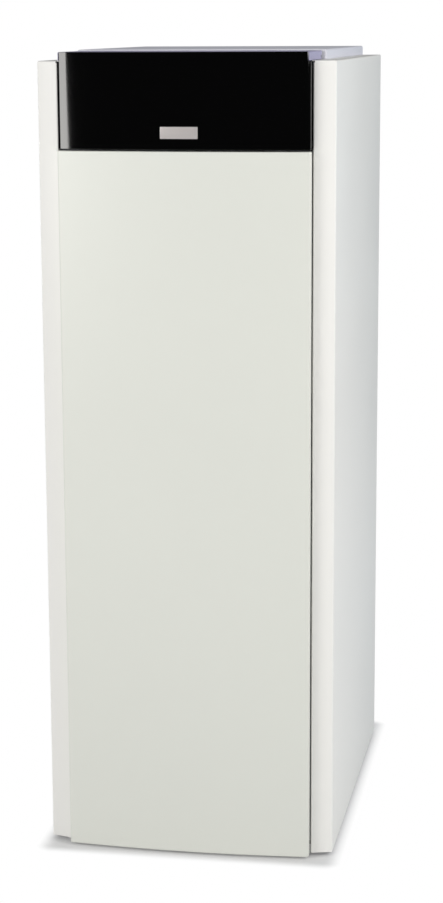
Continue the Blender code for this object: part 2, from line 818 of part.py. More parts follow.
def levelling_feet(material):
    nut_top = TRAY_Z - SEAT
    nut_low = nut_top - FOOT_NUT_HEIGHT
    nut = hexagon(FOOT_NUT_WIDTH)
    rings = [
        along("Z", circle(FOOT_PAD_RADIUS, MIDDLE_ROUND), 0),
        along("Z", circle(FOOT_PAD_RADIUS, MIDDLE_ROUND), FOOT_PAD_HEIGHT),
        along("Z", circle(FOOT_NECK_RADIUS, MIDDLE_ROUND), (FOOT_PAD_HEIGHT + nut_low) / 2),
        along("Z", circle(FOOT_NECK_RADIUS, MIDDLE_ROUND), nut_low),
        along("Z", nut, nut_low),
        along("Z", nut, nut_top),
        along("Z", circle(FOOT_STUD_RADIUS, MIDDLE_ROUND), nut_top),
        along("Z", circle(FOOT_STUD_RADIUS, MIDDLE_ROUND), nut_top + FOOT_STUD_RISE),
    ]
    mesh = loft(rings)
    for name, x, y in foot_places():
        put(name, mesh, material, (x, y, 0))


# Front door
def front_door(material, carrier):
    def ring(left, other, level, radius):
        low = DOOR_LIFT + other
        high = DOOR_TOP_Z - other
        outline = rounded(-DOOR_HALF_WIDTH + left, DOOR_HALF_WIDTH - other, low, high, radius)
        return along("Y", outline, level)

    inner = DOOR_EDGE - CASE_SHEET
    rings = []
    for step in range(BEND_STEPS + 1):
        angle = math.pi / 2 * step / BEND_STEPS
        inset = DOOR_EDGE * (1 - math.sin(angle))
        level = FRONT_Y + DOOR_EDGE * (1 - math.cos(angle))
        rings.append(ring(inset, inset, level, DOOR_EDGE))
    lip_y = DOOR_BACK_Y - CASE_SHEET
    rings += [
        ring(0, 0, DOOR_BACK_Y, DOOR_EDGE),
        ring(DOOR_HEM, DOOR_LIP, DOOR_BACK_Y, inner),
        ring(DOOR_HEM, DOOR_LIP, lip_y, inner),
        ring(CASE_SHEET, CASE_SHEET, lip_y, inner),
        ring(CASE_SHEET, CASE_SHEET, FRONT_Y + CASE_SHEET, inner),
    ]
    put_moving("front_door", loft(rings), material, carrier)


def hinge_bracket(name, low_z, material):
    """Tab on the post, neck reaching round the door's edge, and the pin that the door hangs on."""
    tab_y = POST_FRONT_Y - SEAT
    elbow = BRACKET_REACH
    half = BRACKET_NECK / 2
    depth = tab_y - BRACKET_PLATE / 2 - HINGE_Y
    start = math.asin(half / BRACKET_BOSS)
    outline = arc((0, 0), BRACKET_BOSS, start, math.tau - start, BOSS_STEPS)
    outline += [
        (elbow + half, -half),
        (elbow + half, depth),
        (elbow - half, depth),
        (elbow - half, half),
    ]
    middle = (HINGE_X, HINGE_Y, low_z - BRACKET_PLATE / 2)
    arm = put(name, plate(outline, [], BRACKET_PLATE), material, middle)
    tab = box(
        (HINGE_X + elbow - BRACKET_NECK, tab_y - BRACKET_PLATE, low_z - BRACKET_TAB / 2),
        (HINGE_X + elbow + BRACKET_NECK, tab_y, low_z + BRACKET_TAB / 2),
    )
    fuse(arm, helper(name + "_tab", tab))
    pin = turned("Z", [
        (PIN_RADIUS, -BRACKET_PLATE / 2),
        (PIN_RADIUS, PIN_HEIGHT - PIN_BEVEL),
        (PIN_RADIUS - PIN_BEVEL, PIN_HEIGHT),
    ], SMALL_ROUND)
    fuse(arm, helper(name + "_pin", pin, (HINGE_X, HINGE_Y, low_z)))


def hinge_lug(name, low_z, material, carrier):
    left = -DOOR_HALF_WIDTH + CASE_SHEET + SEAT - HINGE_X
    front = FRONT_Y + CASE_SHEET + SEAT - HINGE_Y
    back = DOOR_BACK_Y - LUG_REAR_GAP + BRACKET_BOSS / 2 - HINGE_Y
    outline = rounded(left, left + LUG_WIDTH, front, back, CASE_SHEET, SMALL_STEPS)
    hole = circle(PIN_RADIUS + RUNNING_GAP, SMALL_ROUND)
    middle = low_z + SEAT + LUG_HEIGHT / 2
    put(name, plate(outline, [hole], LUG_HEIGHT), material, (HINGE_X, HINGE_Y, middle), carrier=carrier)


def door_catch(material):
    front = DOOR_BACK_Y + SEAT
    back = POST_FRONT_Y - SEAT

    def ring(inset, level):
        right = DOOR_HALF_WIDTH - CATCH_INSET - inset
        left = DOOR_HALF_WIDTH - CATCH_INSET - CATCH_WIDTH + inset
        low = CATCH_Z + inset
        high = CATCH_Z + CATCH_HEIGHT - inset
        return along("Y", rounded(left, right, low, high, CASE_SHEET, SMALL_STEPS), level)

    rings = [ring(CASE_SHEET, front), ring(0, front + CASE_SHEET), ring(0, back)]
    put("door_catch", loft(rings), material)


# Console hood with its black fascia
def fascia(material, carrier):
    half = DOOR_HALF_WIDTH
    back = FRONT_Y + FASCIA_RETURN
    corners = [(-half, back), (-half, FRONT_Y), (half, FRONT_Y), (half, back)]
    outer = filleted(corners, FASCIA_CORNER, END_STEPS)
    inner_half = half - FASCIA_WALL
    inner_y = FRONT_Y + FASCIA_WALL
    corners = [(inner_half, back), (inner_half, inner_y), (-inner_half, inner_y), (-inner_half, back)]
    inner = filleted(corners, FASCIA_CORNER - FASCIA_WALL, END_STEPS)
    plan = [tuple(point) for point in outer + inner]
    mesh = loft([along("Z", plan, FLAP_Z), along("Z", plan, FLAP_TOP_Z)])
    item = put_moving("fascia", mesh, material, carrier)
    for side in (-1, 1):
        inside = side * (half - FASCIA_NOTCH_WIDTH)
        outside = side * (half + OVERRUN)
        notch = box(
            (min(inside, outside), FRONT_Y - OVERRUN, FLAP_TOP_Z - FASCIA_NOTCH_HEIGHT),
            (max(inside, outside), back + OVERRUN, FLAP_TOP_Z + OVERRUN),
        )
        cut(item, helper("fascia_notch", notch))
    wide = BADGE_WIDTH / 2 + SEAT
    tall = BADGE_HEIGHT / 2 + SEAT
    pocket = box(
        (BADGE_X - wide, FRONT_Y - OVERRUN, badge_z() - tall),
        (BADGE_X + wide, FRONT_Y + BADGE_THICKNESS + SEAT, badge_z() + tall),
    )
    cut(item, helper("badge_pocket", pocket))


def badge_z():
    return FLAP_TOP_Z - BADGE_DROP


def badge_plate(material, carrier):
    def ring(inset, level):
        wide = BADGE_WIDTH / 2 - inset
        tall = BADGE_HEIGHT / 2 - inset
        low = badge_z() - tall
        high = badge_z() + tall
        outline = rounded(BADGE_X - wide, BADGE_X + wide, low, high, BADGE_CORNER, SMALL_STEPS)
        return along("Y", outline, level)

    bevel_y = FRONT_Y + BADGE_BEVEL
    rings = [ring(BADGE_BEVEL, FRONT_Y), ring(0, bevel_y), ring(0, FRONT_Y + BADGE_THICKNESS)]
    put_moving("badge_plate", loft(rings), material, carrier)


def console_hood(material, carrier):
    """The grey top with a skirt down each side, whose rear corners turn on the console's pins."""
    half = HOOD_HALF_WIDTH
    low = FLAP_TOP_Z - HOOD_SKIRT
    inner = half - HOOD_SHEET
    corners = [(-half, low), (-half, FLAP_TOP_Z), (half, FLAP_TOP_Z), (half, low)]
    outer_path = filleted(corners, HOOD_CORNER, SMALL_STEPS)
    top = FLAP_TOP_Z - HOOD_SHEET
    inner_path = [(inner, low), (inner, top), (-inner, top), (-inner, low)]
    section = [tuple(point) for point in outer_path] + inner_path
    front = FRONT_Y + FASCIA_WALL + SEAT
    mesh = loft([along("Y", section, front), along("Y", section, FRONT_Y + HOOD_REAR)])
    item = put_moving("console_hood", mesh, material, carrier)
    reach = half + OVERRUN
    radius = PIVOT_RADIUS + RUNNING_GAP
    bore = turned("X", [(radius, -reach), (radius, reach)], SMALL_ROUND)
    cut(item, helper("hood_pivot_bore", bore, (0, PIVOT_Y, PIVOT_Z)))


# Lid
def top_cover(material):
    half = HALF_WIDTH - LID_SIDE
    front = FRONT_Y + LID_FRONT
    back = PANEL_BACK_Y - LID_BACK_INSET
    top = LID_Z + LID_HEIGHT

    def ring(inset, level):
        outline = rounded(-half + inset, half - inset, front + inset, back - inset, LID_CORNER)
        return along("Z", outline, level)

    rings = []
    for step in range(BEND_STEPS + 1):
        angle = math.pi / 2 * step / BEND_STEPS
        rings.append(ring(LID_EDGE * (1 - math.sin(angle)), top - LID_EDGE * (1 - math.cos(angle))))
    rings += [ring(0, LID_Z), ring(CASE_SHEET, LID_Z), ring(CASE_SHEET, top - LID_EDGE)]
    rings.append(ring(LID_EDGE, top - CASE_SHEET))
    put("top_cover", loft(rings), material)


# Console
def control_housing(material):
    """A moulded box, open at its back, with two ears that carry the hood's pins."""
    def ring(inset, level):
        half = HOUSING_HALF_WIDTH - inset
        low = HOUSING_Z + inset
        high = HOUSING_TOP_Z - inset
        return along("Y", rounded(-half, half, low, high, HOUSING_CORNER - inset), level)

    back = HOUSING_FRONT_Y + HOUSING_DEPTH
    wall = HOUSING_WALL
    floor_y = HOUSING_FRONT_Y + wall
    rings = [ring(0, HOUSING_FRONT_Y), ring(0, back), ring(wall, back), ring(wall, floor_y)]
    item = put("control_housing", loft(rings), material)
    root = HOUSING_TOP_Z - EAR_ROOT - PIVOT_Z
    tab = arc((0, 0), EAR_RADIUS, 0, math.pi, EAR_STEPS) + [(-EAR_RADIUS, root), (EAR_RADIUS, root)]
    for side, name in ((-1, "ear_left"), (1, "ear_right")):
        outer = side * (HOUSING_HALF_WIDTH - SEAT)
        inner = side * (HOUSING_HALF_WIDTH - EAR_THICKNESS)
        ear = loft([along("X", tab, inner), along("X", tab, outer)])
        fuse(item, helper(name, ear, (0, PIVOT_Y, PIVOT_Z)))
        tip = side * (HOOD_HALF_WIDTH + HOOD_SHEET / 2)
        start = side * (HOUSING_HALF_WIDTH - EAR_THICKNESS / 2)
        pin = turned("X", [(PIVOT_RADIUS, start), (PIVOT_RADIUS, tip)], SMALL_ROUND)
        fuse(item, helper(name + "_pin", pin, (0, PIVOT_Y, PIVOT_Z)))
    wide = SWITCH_WIDTH / 2 + SWITCH_GAP
    tall = SWITCH_HEIGHT / 2 + SWITCH_GAP
    pocket = box(
        (SWITCH_X - wide, HOUSING_FRONT_Y - OVERRUN, CONTROL_Z - tall),
        (SWITCH_X + wide, floor_y + OVERRUN, CONTROL_Z + tall),
    )
    cut(item, helper("switch_slot", pocket))


def control_panel(material):
    half = HOUSING_HALF_WIDTH - PANEL_MARGIN
    low = HOUSING_Z + PANEL_MARGIN
    high = HOUSING_TOP_Z - PANEL_MARGIN
    outline = rounded(-half, half, low, high, PANEL_CORNER)
    wide = SWITCH_WIDTH / 2 + SWITCH_GAP
    tall = SWITCH_HEIGHT / 2 + SWITCH_GAP
    slot = [
        (SWITCH_X - wide, CONTROL_Z - tall),
        (SWITCH_X + wide, CONTROL_Z - tall),
        (SWITCH_X + wide, CONTROL_Z + tall),
        (SWITCH_X - wide, CONTROL_Z + tall),
    ]
    bore = KNOB_SHAFT_RADIUS + RUNNING_GAP
    shafts = [(BOILER_KNOB_X, CONTROL_Z), (WATER_KNOB_X, CONTROL_Z)]
    holes = [slot] + [circle(bore, SMALL_ROUND, centre) for centre in shafts]
    middle = (CONTROL_FRONT_Y + CONTROL_BACK_Y) / 2
    put("control_panel", plate(outline, holes, PANEL_SHEET), material, (0, middle, 0), UPRIGHT)


def mains_switch(material, carrier):
    """A rocker whose two faces meet in a shallow valley over its pivot."""
    half = SWITCH_HEIGHT / 2
    section = [
        (-SWITCH_CROWN, -half),
        (-SWITCH_VALLEY, 0),
        (-SWITCH_CROWN, half),
        (0, half),
        (SWITCH_ROOT, half * SWITCH_WAIST_SHARE),
        (SWITCH_ROOT, -half * SWITCH_WAIST_SHARE),
        (0, -half),
    ]
    wide = SWITCH_WIDTH / 2
    mesh = loft([along("X", section, -wide), along("X", section, wide)])
    put("mains_switch", mesh, material, carrier.location, (SWITCH_TILT, 0, 0), carrier)


def display_window(material):
    back = CONTROL_FRONT_Y - SEAT
    front = back - DISPLAY_THICKNESS

    def ring(inset, level):
        wide = DISPLAY_WIDTH / 2 - inset
        tall = DISPLAY_HEIGHT / 2 - inset
        low = CONTROL_Z - tall
        high = CONTROL_Z + tall
        outline = rounded(DISPLAY_X - wide, DISPLAY_X + wide, low, high, DISPLAY_CORNER - inset)
        return along("Y", outline, level)

    rings = [ring(DISPLAY_BEVEL, front), ring(0, front + DISPLAY_BEVEL), ring(0, back)]
    put("display_window", loft(rings), material)


def knob(name, material, carrier):
    """A turned knob with a fluted grip, a skirt and its shaft in the panel."""
    back = -SEAT
    skirt = back - KNOB_SKIRT
    front = back - KNOB_HEIGHT
    rings = [
        along("Y", circle(KNOB_SHAFT_RADIUS), PANEL_SHEET),
        along("Y", circle(KNOB_SHAFT_RADIUS), back),
        along("Y", circle(KNOB_SKIRT_RADIUS), back),
        along("Y", circle(KNOB_SKIRT_RADIUS), skirt + KNOB_EDGE),
        along("Y", circle(KNOB_SKIRT_RADIUS - KNOB_EDGE), skirt),
        along("Y", fluted(KNOB_RADIUS, KNOB_FLUTE, ROUND), skirt),
        along("Y", fluted(KNOB_TIP_RADIUS, KNOB_FLUTE, ROUND), front + KNOB_EDGE),
        along("Y", circle(KNOB_TIP_RADIUS - KNOB_EDGE * 2), front),
    ]
    put(name, loft(rings), material, carrier.location, carrier=carrier)


def gauge_body(material):
    back = CONTROL_FRONT_Y - SEAT
    front = back - GAUGE_HEIGHT
    inner = GAUGE_RADIUS - GAUGE_RIM
    dial = front + GAUGE_RECESS
    profile = [
        (GAUGE_RADIUS, back),
        (GAUGE_RADIUS, front + GAUGE_RIM / 2),
        (GAUGE_RADIUS - GAUGE_RIM / 2, front),
        (inner, front + GAUGE_LIP),
        (inner, dial),
        (GAUGE_BORE + RUNNING_GAP, dial),
        (GAUGE_BORE + RUNNING_GAP, dial + GAUGE_RIM / 2),
    ]
    put("gauge_body", turned("Y", profile), material, (GAUGE_X, 0, CONTROL_Z))


def gauge_needle(material, carrier):
    """A tapered pointer with a hub and a short axle that sits in the dial."""
    back = -SEAT
    front = back - NEEDLE_THICKNESS
    outline = (
        [(NEEDLE_TIP, NEEDLE_LENGTH), (-NEEDLE_TIP, NEEDLE_LENGTH)]
        + arc((0, 0), NEEDLE_HUB, math.pi - NEEDLE_HUB_ANGLE, math.pi + NEEDLE_HUB_ANGLE, END_STEPS)
        + [(-NEEDLE_TIP * 2, -NEEDLE_TAIL), (NEEDLE_TIP * 2, -NEEDLE_TAIL)]
        + arc((0, 0), NEEDLE_HUB, -NEEDLE_HUB_ANGLE, NEEDLE_HUB_ANGLE, END_STEPS)
    )
    mesh = loft([along("Y", outline, front), along("Y", outline, back)])
    turn = (0, math.tau * NEEDLE_START_SHARE, 0)
    item = put("gauge_needle", mesh, material, carrier.location, turn, carrier)
    axle = turned("Y", [(GAUGE_BORE, (front + back) / 2), (GAUGE_BORE, GAUGE_LIP)], SMALL_ROUND)
    fuse(item, helper("needle_axle", axle, carrier.location))


# Hot water tank and the stands
def hot_water_tank(material):
    def dish(end, inward, start_radius):
        start = math.asin(start_radius / TANK_RADIUS)
        angles = [start + (math.pi / 2 - start) * i / DISH_STEPS for i in range(DISH_STEPS + 1)]
        depths = [inward * TANK_DISH * (1 - math.cos(a)) for a in angles]
        return [(TANK_RADIUS * math.sin(a), end + depth) for a, depth in zip(angles, depths)]

    front = dish(TANK_FRONT_Y + TANK_NECK, 1, TANK_NECK_RADIUS)
    back = dish(TANK_BACK_Y, -1, TANK_NECK_RADIUS)[::-1]
    profile = [(TANK_NECK_RADIUS, TANK_FRONT_Y)] + front + back
    tank = put("hot_water_tank", turned("Y", profile, TANK_ROUND), material, (0, 0, TANK_Z))
    radius = WATER_PIPE_RADIUS + SEAT
    floor_y = tank_socket_y() - SEAT
    for name, x, z in tank_pipes():
        bore = turned("Y", [(radius, floor_y), (radius, TANK_BACK_Y + OVERRUN)], SMALL_ROUND)
        cut(tank, helper(name + "_socket", bore, (x, 0, z)))
    radius = PUMP_PORT_RADIUS + SEAT
    floor_z = charge_low() - SEAT
    mouth_z = TANK_Z + TANK_RADIUS + OVERRUN
    bore = turned("Z", [(radius, floor_z), (radius, mouth_z)], MIDDLE_ROUND)
    cut(tank, helper("charge_socket", bore, (CHARGE_X, CHARGE_Y, 0)))


def tank_pipes():
    return [
        ("hot_water_pipe", HOT_X, TANK_Z + HOT_RISE),
        ("cold_water_pipe", COLD_X, TANK_Z - COLD_DROP),
    ]


def tank_socket_y():
    return TANK_BACK_Y - TANK_DISH


def charge_low():
    return CHARGE_Z - CHARGE_SINK


def tank_cover(material):
    back = TANK_FRONT_Y - SEAT
    front = back - COVER_THICKNESS
    profile = [
        (COVER_RADIUS, back),
        (COVER_RADIUS, front + COVER_EDGE),
        (COVER_RADIUS - COVER_EDGE, front),
        (COVER_BOSS_RADIUS, front),
        (COVER_BOSS_RADIUS, front - COVER_BOSS + COVER_EDGE),
        (COVER_BOSS_RADIUS - COVER_EDGE, front - COVER_BOSS),
    ]
    put("tank_cover", turned("Y", profile), material, (0, 0, TANK_Z))


def stand(name, y, material):
    """A plate round the tank, with a foot flange on the tray and a head flange under the boiler."""
    low = TRAY_FLOOR_Z + SEAT
    high = BOILER_BASE_Z - SEAT
    inset = STAND_PLATE / 2
    half = STAND_HALF_WIDTH - inset
    outline = rounded(-half, half, low + inset, high - inset, inset, 1)
    hole = circle(TANK_RADIUS + SEAT, TANK_ROUND, (0, TANK_Z))
    item = put(name, plate(outline, [hole], STAND_PLATE), material, (0, y, 0), UPRIGHT)
    for part, base in (("foot", low), ("head", high - STAND_PLATE)):
        flange = box(
            (-STAND_HALF_WIDTH, y - STAND_FLANGE / 2, base),
            (STAND_HALF_WIDTH, y + STAND_FLANGE / 2, base + STAND_PLATE),
        )
        fuse(item, helper(name + "_" + part, flange))


# Boiler
def boiler_body(material):
    def ring(inset, level):
        half = BOILER_HALF_WIDTH - inset
        low = BOILER_BASE_Z + inset
        high = BOILER_TOP_Z - inset
        return along("Y", rounded(-half, half, low, high, BOILER_CORNER, BLOCK_STEPS), level)

    chamber = circle(CHAMBER_RADIUS, ROUND, (BURNER_X, TUBE_Z))
    recess = circle(FLUE_RADIUS - FLUE_WALL, ROUND, (0, FLUE_Z))
    rings = [
        along("Y", chamber, BOILER_FRONT_Y + CHAMBER_DEPTH),
        along("Y", chamber, BOILER_FRONT_Y),
        ring(BOILER_EDGE, BOILER_FRONT_Y),
        ring(0, BOILER_FRONT_Y + BOILER_EDGE),
        ring(0, BOILER_BACK_Y - BOILER_EDGE),
        ring(BOILER_EDGE, BOILER_BACK_Y),
        along("Y", recess, BOILER_BACK_Y),
        along("Y", recess, BOILER_BACK_Y - FLUE_RECESS),
    ]
    put("boiler_body", loft(rings), material)


def boiler_front_plate(material):
    back = BOILER_FRONT_Y - SEAT

    def ring(inset, level):
        wide = BOILER_HALF_WIDTH - PLATE_SIDE_MARGIN - inset
        tall = BOILER_TOP_Z - PLATE_TOP_MARGIN - TUBE_Z - inset
        outline = rounded(-wide, wide, TUBE_Z - tall, TUBE_Z + tall, PLATE_CORNER, BLOCK_STEPS)
        return along("Y", outline, level)

    hole = circle(TUBE_RADIUS + HOLE_GAP, ROUND, (BURNER_X, TUBE_Z))
    rings = [
        ring(0, back),
        ring(0, PLATE_FRONT_Y + PLATE_BEVEL),
        ring(PLATE_BEVEL, PLATE_FRONT_Y),
        along("Y", hole, PLATE_FRONT_Y),
        along("Y", hole, back),
    ]
    put("boiler_front_plate", loft(rings, closed=True), material)


def flue_outlet(material):
    start = BOILER_BACK_Y + SEAT
    inner = FLUE_RADIUS - FLUE_WALL
    profile = [
        (inner, start),
        (FLUE_FLANGE_RADIUS, start),
        (FLUE_FLANGE_RADIUS, start + FLUE_FLANGE),
        (FLUE_RADIUS, start + FLUE_FLANGE),
        (FLUE_RADIUS, REAR_Y),
        (inner, REAR_Y),
    ]
    put("flue_outlet", turned("Y", profile, closed=True), material, (0, 0, FLUE_Z))


# Burner
def spiral(trim):
    """The scroll's outline, from the tongue at the top, clockwise, growing at a steady rate."""
    gap = trim / SCROLL_START
    points = []
    for i in range(SCROLL_ROUND):
        turned_by = (math.tau - gap) * i / (SCROLL_ROUND - 1)
        radius = SCROLL_START + (SCROLL_END - SCROLL_START) * turned_by / math.tau - trim
        angle = math.pi / 2 - turned_by
        points.append((radius * math.cos(angle), radius * math.sin(angle)))
    return points


def backward_circle(radius):
    """A circle whose points run with those of the spiral."""
    end = math.pi / 2 - math.tau * (SCROLL_ROUND - 1) / SCROLL_ROUND
    return arc((0, 0), radius, math.pi / 2, end, SCROLL_ROUND - 1)


def burner_housing(material):
    """The fan scroll, open at its intake, with a duct that runs from square to round at its flange."""
    half = SCROLL_WIDTH / 2
    wall = SCROLL_WALL
    rings = [
        along("X", backward_circle(SHAFT_HOLE_RADIUS), -half),
        along("X", spiral(0), -half),
        along("X", spiral(0), half),
        along("X", backward_circle(INTAKE_RADIUS), half),
        along("X", backward_circle(INTAKE_RADIUS), half - wall),
        along("X", spiral(wall), half - wall),
        along("X", spiral(wall), wall - half),
        along("X", backward_circle(SHAFT_HOLE_RADIUS), wall - half),
    ]
    centre = (BURNER_X, SCROLL_Y, SCROLL_Z)
    item = put("burner_housing", loft(rings, closed=True), material, centre)
    rise = (DUCT_ROOT + SCROLL_END) / 2
    neck = DUCT_BACK_Y - DUCT_FLANGE - SCROLL_Y
    back = DUCT_BACK_Y - SCROLL_Y

    square_y = neck * DUCT_SQUARE_SHARE

    def square(inset, level):
        wide = half - inset
        low = TONGUE_RISE + inset
        high = SCROLL_END - inset
        return along("Y", rounded(-wide, wide, low, high, DUCT_CORNER - inset, BLOCK_STEPS), level)

    def hoop(radius, level):
        return along("Y", circle(radius, ROUND, (0, rise)), level)

    outer = loft([
        square(0, -wall),
        square(0, square_y),
        hoop(DUCT_RADIUS, neck),
        hoop(DUCT_FLANGE_RADIUS, neck),
        hoop(DUCT_FLANGE_RADIUS, back),
    ])
    fuse(item, helper("duct", outer, centre))
    bore = TUBE_RADIUS + SEAT
    inner = loft([
        square(wall, -DUCT_SINK),
        square(wall, square_y),
        hoop(bore, neck - TUBE_SOCKET),
        hoop(bore, back + OVERRUN),
    ])
    cut(item, helper("duct_bore", inner, centre))


def blast_tube(material):
    inner = TUBE_RADIUS - TUBE_WALL
    start = DUCT_BACK_Y - TUBE_SOCKET
    end = BOILER_FRONT_Y + TUBE_INSIDE
    profile = [(inner, start), (TUBE_RADIUS, start), (TUBE_RADIUS, end), (inner, end)]
    put("blast_tube", turned("Y", profile, closed=True), material, (BURNER_X, 0, TUBE_Z))


def fan_blade():
    """One forward-curved blade, whose middle line leans further round the nearer it is to the rim."""
    rim = FAN_RADIUS - BLADE_TIP_INSET
    lean = (rim - FAN_INNER) * BLADE_SWEEP_SHARE
    front = []
    back = []
    for i in range(BLADE_STEPS + 1):
        share = i / BLADE_STEPS
        radius = FAN_INNER + (rim - FAN_INNER) * share
        angle = lean * share * share / radius
        half_turn = BLADE_THICKNESS / 2 / radius
        for path, at in ((front, angle + half_turn), (back, angle - half_turn)):
            path.append((radius * math.cos(at), radius * math.sin(at)))
    return back + front[::-1]


def fan_wheel(material, carrier):
    """Back disc with hub and shaft, a ring of blades, and the rim ring that ties their ends."""
    start = FAN_X - carrier.location.x
    shaft_end = MOTOR_X - FAN_SHAFT_DEPTH - carrier.location.x
    hub = start + FAN_HUB
    profile = [
        (FAN_SHAFT_RADIUS, shaft_end),
        (FAN_SHAFT_RADIUS, start),
        (FAN_RADIUS, start),
        (FAN_RADIUS, start + FAN_DISC),
        (FAN_HUB_RADIUS, start + FAN_DISC),
        (FAN_HUB_RADIUS, hub - FAN_HUB_EDGE),
        (FAN_HUB_RADIUS - FAN_HUB_EDGE, hub),
    ]
    item = put("fan_wheel", turned("X", profile, ROUND), material, carrier.location, carrier=carrier)
    end = start + FAN_WIDTH
    blade_start = start + FAN_DISC - BLADE_SINK
    blade_end = end - FAN_RING + BLADE_SINK
    bm = bmesh.new()
    for i in range(BLADE_COUNT):
        blade = loft([along("X", fan_blade(), blade_start), along("X", fan_blade(), blade_end)])
        blade.transform(Matrix.Rotation(math.tau * i / BLADE_COUNT, 4, "X"))
        bm.from_mesh(blade)
    blades = bpy.data.meshes.new("blades")
    bm.to_mesh(blades)
    bm.free()
    fuse(item, helper("fan_blades", blades, carrier.location))
    ring = turned("X", [
        (FAN_RING_INNER, end - FAN_RING),
        (FAN_RADIUS, end - FAN_RING),
        (FAN_RADIUS, end),
        (FAN_RING_INNER, end),
    ], ROUND, closed=True)
    fuse(item, helper("fan_ring", ring, carrier.location))


def burner_motor(material):
    count = MOTOR_FINS * 2
    finned = fluted(MOTOR_RADIUS, MOTOR_FIN, count)
    bore = circle(FAN_SHAFT_RADIUS + RUNNING_GAP, count)
    cap = circle(MOTOR_CAP_RADIUS, count)
    end = MOTOR_X - MOTOR_LENGTH
    rings = [
        along("X", bore, MOTOR_X - MOTOR_BORE_DEPTH),
        along("X", bore, MOTOR_X),
        along("X", cap, MOTOR_X),
        along("X", cap, MOTOR_X - MOTOR_CAP),
        along("X", finned, MOTOR_X - MOTOR_CAP),
        along("X", finned, end + MOTOR_CAP),
        along("X", cap, end + MOTOR_CAP),
        along("X", cap, end),
    ]
    put("burner_motor", loft(rings), material, (0, SCROLL_Y, SCROLL_Z))


def oil_pump(material):
    half = PUMP_SIZE / 2
    end = PUMP_X - PUMP_LENGTH
    block = rounded(-half, half, -half, half, PUMP_CORNER, CORNER_STEPS)
    snout = circle(PUMP_SNOUT_RADIUS, len(block))
    rings = [
        along("X", block, PUMP_X),
        along("X", block, end),
        along("X", snout, end),
        along("X", snout, end - PUMP_SNOUT),
    ]
    put("oil_pump", loft(rings), material, (0, SCROLL_Y, SCROLL_Z))


def control_box_front():
    return SCROLL_Y - CONTROL_BOX_DEPTH / 2


def control_box_middle():
    low = SCROLL_Z + MOTOR_RADIUS + SEAT
    return (MOTOR_X - MOTOR_LENGTH / 2, low + CONTROL_BOX_HEIGHT / 2)


def burner_control(material):
    x, middle = control_box_middle()

    def ring(inset, level):
        wide = CONTROL_BOX_LENGTH / 2 - inset
        deep = CONTROL_BOX_DEPTH / 2 - inset
        front = SCROLL_Y - deep
        back = SCROLL_Y + deep
        return along("Z", rounded(x - wide, x + wide, front, back, CONTROL_BOX_CORNER), level)

    low = middle - CONTROL_BOX_HEIGHT / 2
    high = middle + CONTROL_BOX_HEIGHT / 2
    rings = [ring(0, low), ring(0, high - CONTROL_BOX_BEVEL), ring(CONTROL_BOX_BEVEL, high)]
    item = put("burner_control", loft(rings), material)
    radius = BUTTON_RADIUS + RUNNING_GAP
    depth = BUTTON_ROOT + BUTTON_TRAVEL + SEAT
    pocket = turned("Y", [(radius, -OVERRUN), (radius, depth)], SMALL_ROUND)
    cut(item, helper("button_pocket", pocket, (x, control_box_front(), middle)))


def reset_button(material, carrier):
    profile = [
        (BUTTON_RADIUS, BUTTON_ROOT),
        (BUTTON_RADIUS, BUTTON_EDGE - BUTTON_PROUD),
        (BUTTON_RADIUS - BUTTON_EDGE, -BUTTON_PROUD),
    ]
    put("reset_button", turned("Y", profile, SMALL_ROUND), material, carrier.location, carrier=carrier)


# Oil side
def oil_filter(material):
    right = FILTER_X + FILTER_HEAD
    back = FILTER_Y + FILTER_HEAD
    tall = FILTER_HEAD_HEIGHT / 2
    outline = rounded(FILTER_X, right, FILTER_Y, back, FILTER_CORNER)
    mesh = loft([along("Z", outline, FILTER_Z - tall), along("Z", outline, FILTER_Z + tall)])
    item = put("oil_filter", mesh, material)
    bowl = turned("Z", [
        (FILTER_NECK, -tall - FILTER_BOWL),
        (FILTER_BOWL_RADIUS, -tall - FILTER_BOWL + FILTER_NECK / 2),
        (FILTER_BOWL_RADIUS, -tall - FILTER_NECK),
        (FILTER_NECK, -tall - FILTER_NECK / 2),
        (FILTER_NECK, 0),
    ], SMALL_ROUND)
    fuse(item, helper("filter_bowl", bowl, ((FILTER_X + right) / 2, (FILTER_Y + back) / 2, FILTER_Z)))


def oil_pipes(material):
    side_x = -POST_X + OIL_PIPE_SIDE
    back = FILTER_Y + FILTER_HEAD + SEAT
    route = [(side_x, back, FILTER_Z), (side_x, REAR_Y, FILTER_Z)]
    pipe("oil_supply_pipe", route, OIL_PIPE_RADIUS, OIL_BEND, material)
    start = FILTER_X + FILTER_HEAD + SEAT
    middle_y = FILTER_Y + FILTER_HEAD / 2
    pump_x = PUMP_X - PUMP_LENGTH / 2
    route = [
        (start, middle_y, FILTER_Z),
        (start + OIL_RUN, middle_y, FILTER_Z),
        (pump_x, SCROLL_Y, FILTER_Z),
        (pump_x, SCROLL_Y, SCROLL_Z - PUMP_SIZE / 2 - SEAT),
    ]
    pipe("oil_line", route, OIL_PIPE_RADIUS, OIL_BEND, material)


# Water side
def circulator(name, at, material):
    """An in-line pump: two ports in line, a round body between them and the motor head in front."""
    ports = turned("Z", [(PUMP_PORT_RADIUS, 0), (PUMP_PORT_RADIUS, PUMP_PORT_LENGTH)], MIDDLE_ROUND)
    item = put(name, ports, material, at)
    middle = Vector(at) + Vector((0, 0, PUMP_PORT_LENGTH / 2))
    front = -PUMP_BODY_DEPTH / 2
    profile = [
        (PUMP_BODY_RADIUS, -front),
        (PUMP_BODY_RADIUS, front),
        (PUMP_HEAD_RADIUS, front),
        (PUMP_HEAD_RADIUS, front - PUMP_HEAD + PUMP_HEAD_EDGE),
        (PUMP_HEAD_RADIUS - PUMP_HEAD_EDGE, front - PUMP_HEAD),
    ]
    fuse(item, helper(name + "_head", turned("Y", profile), middle))


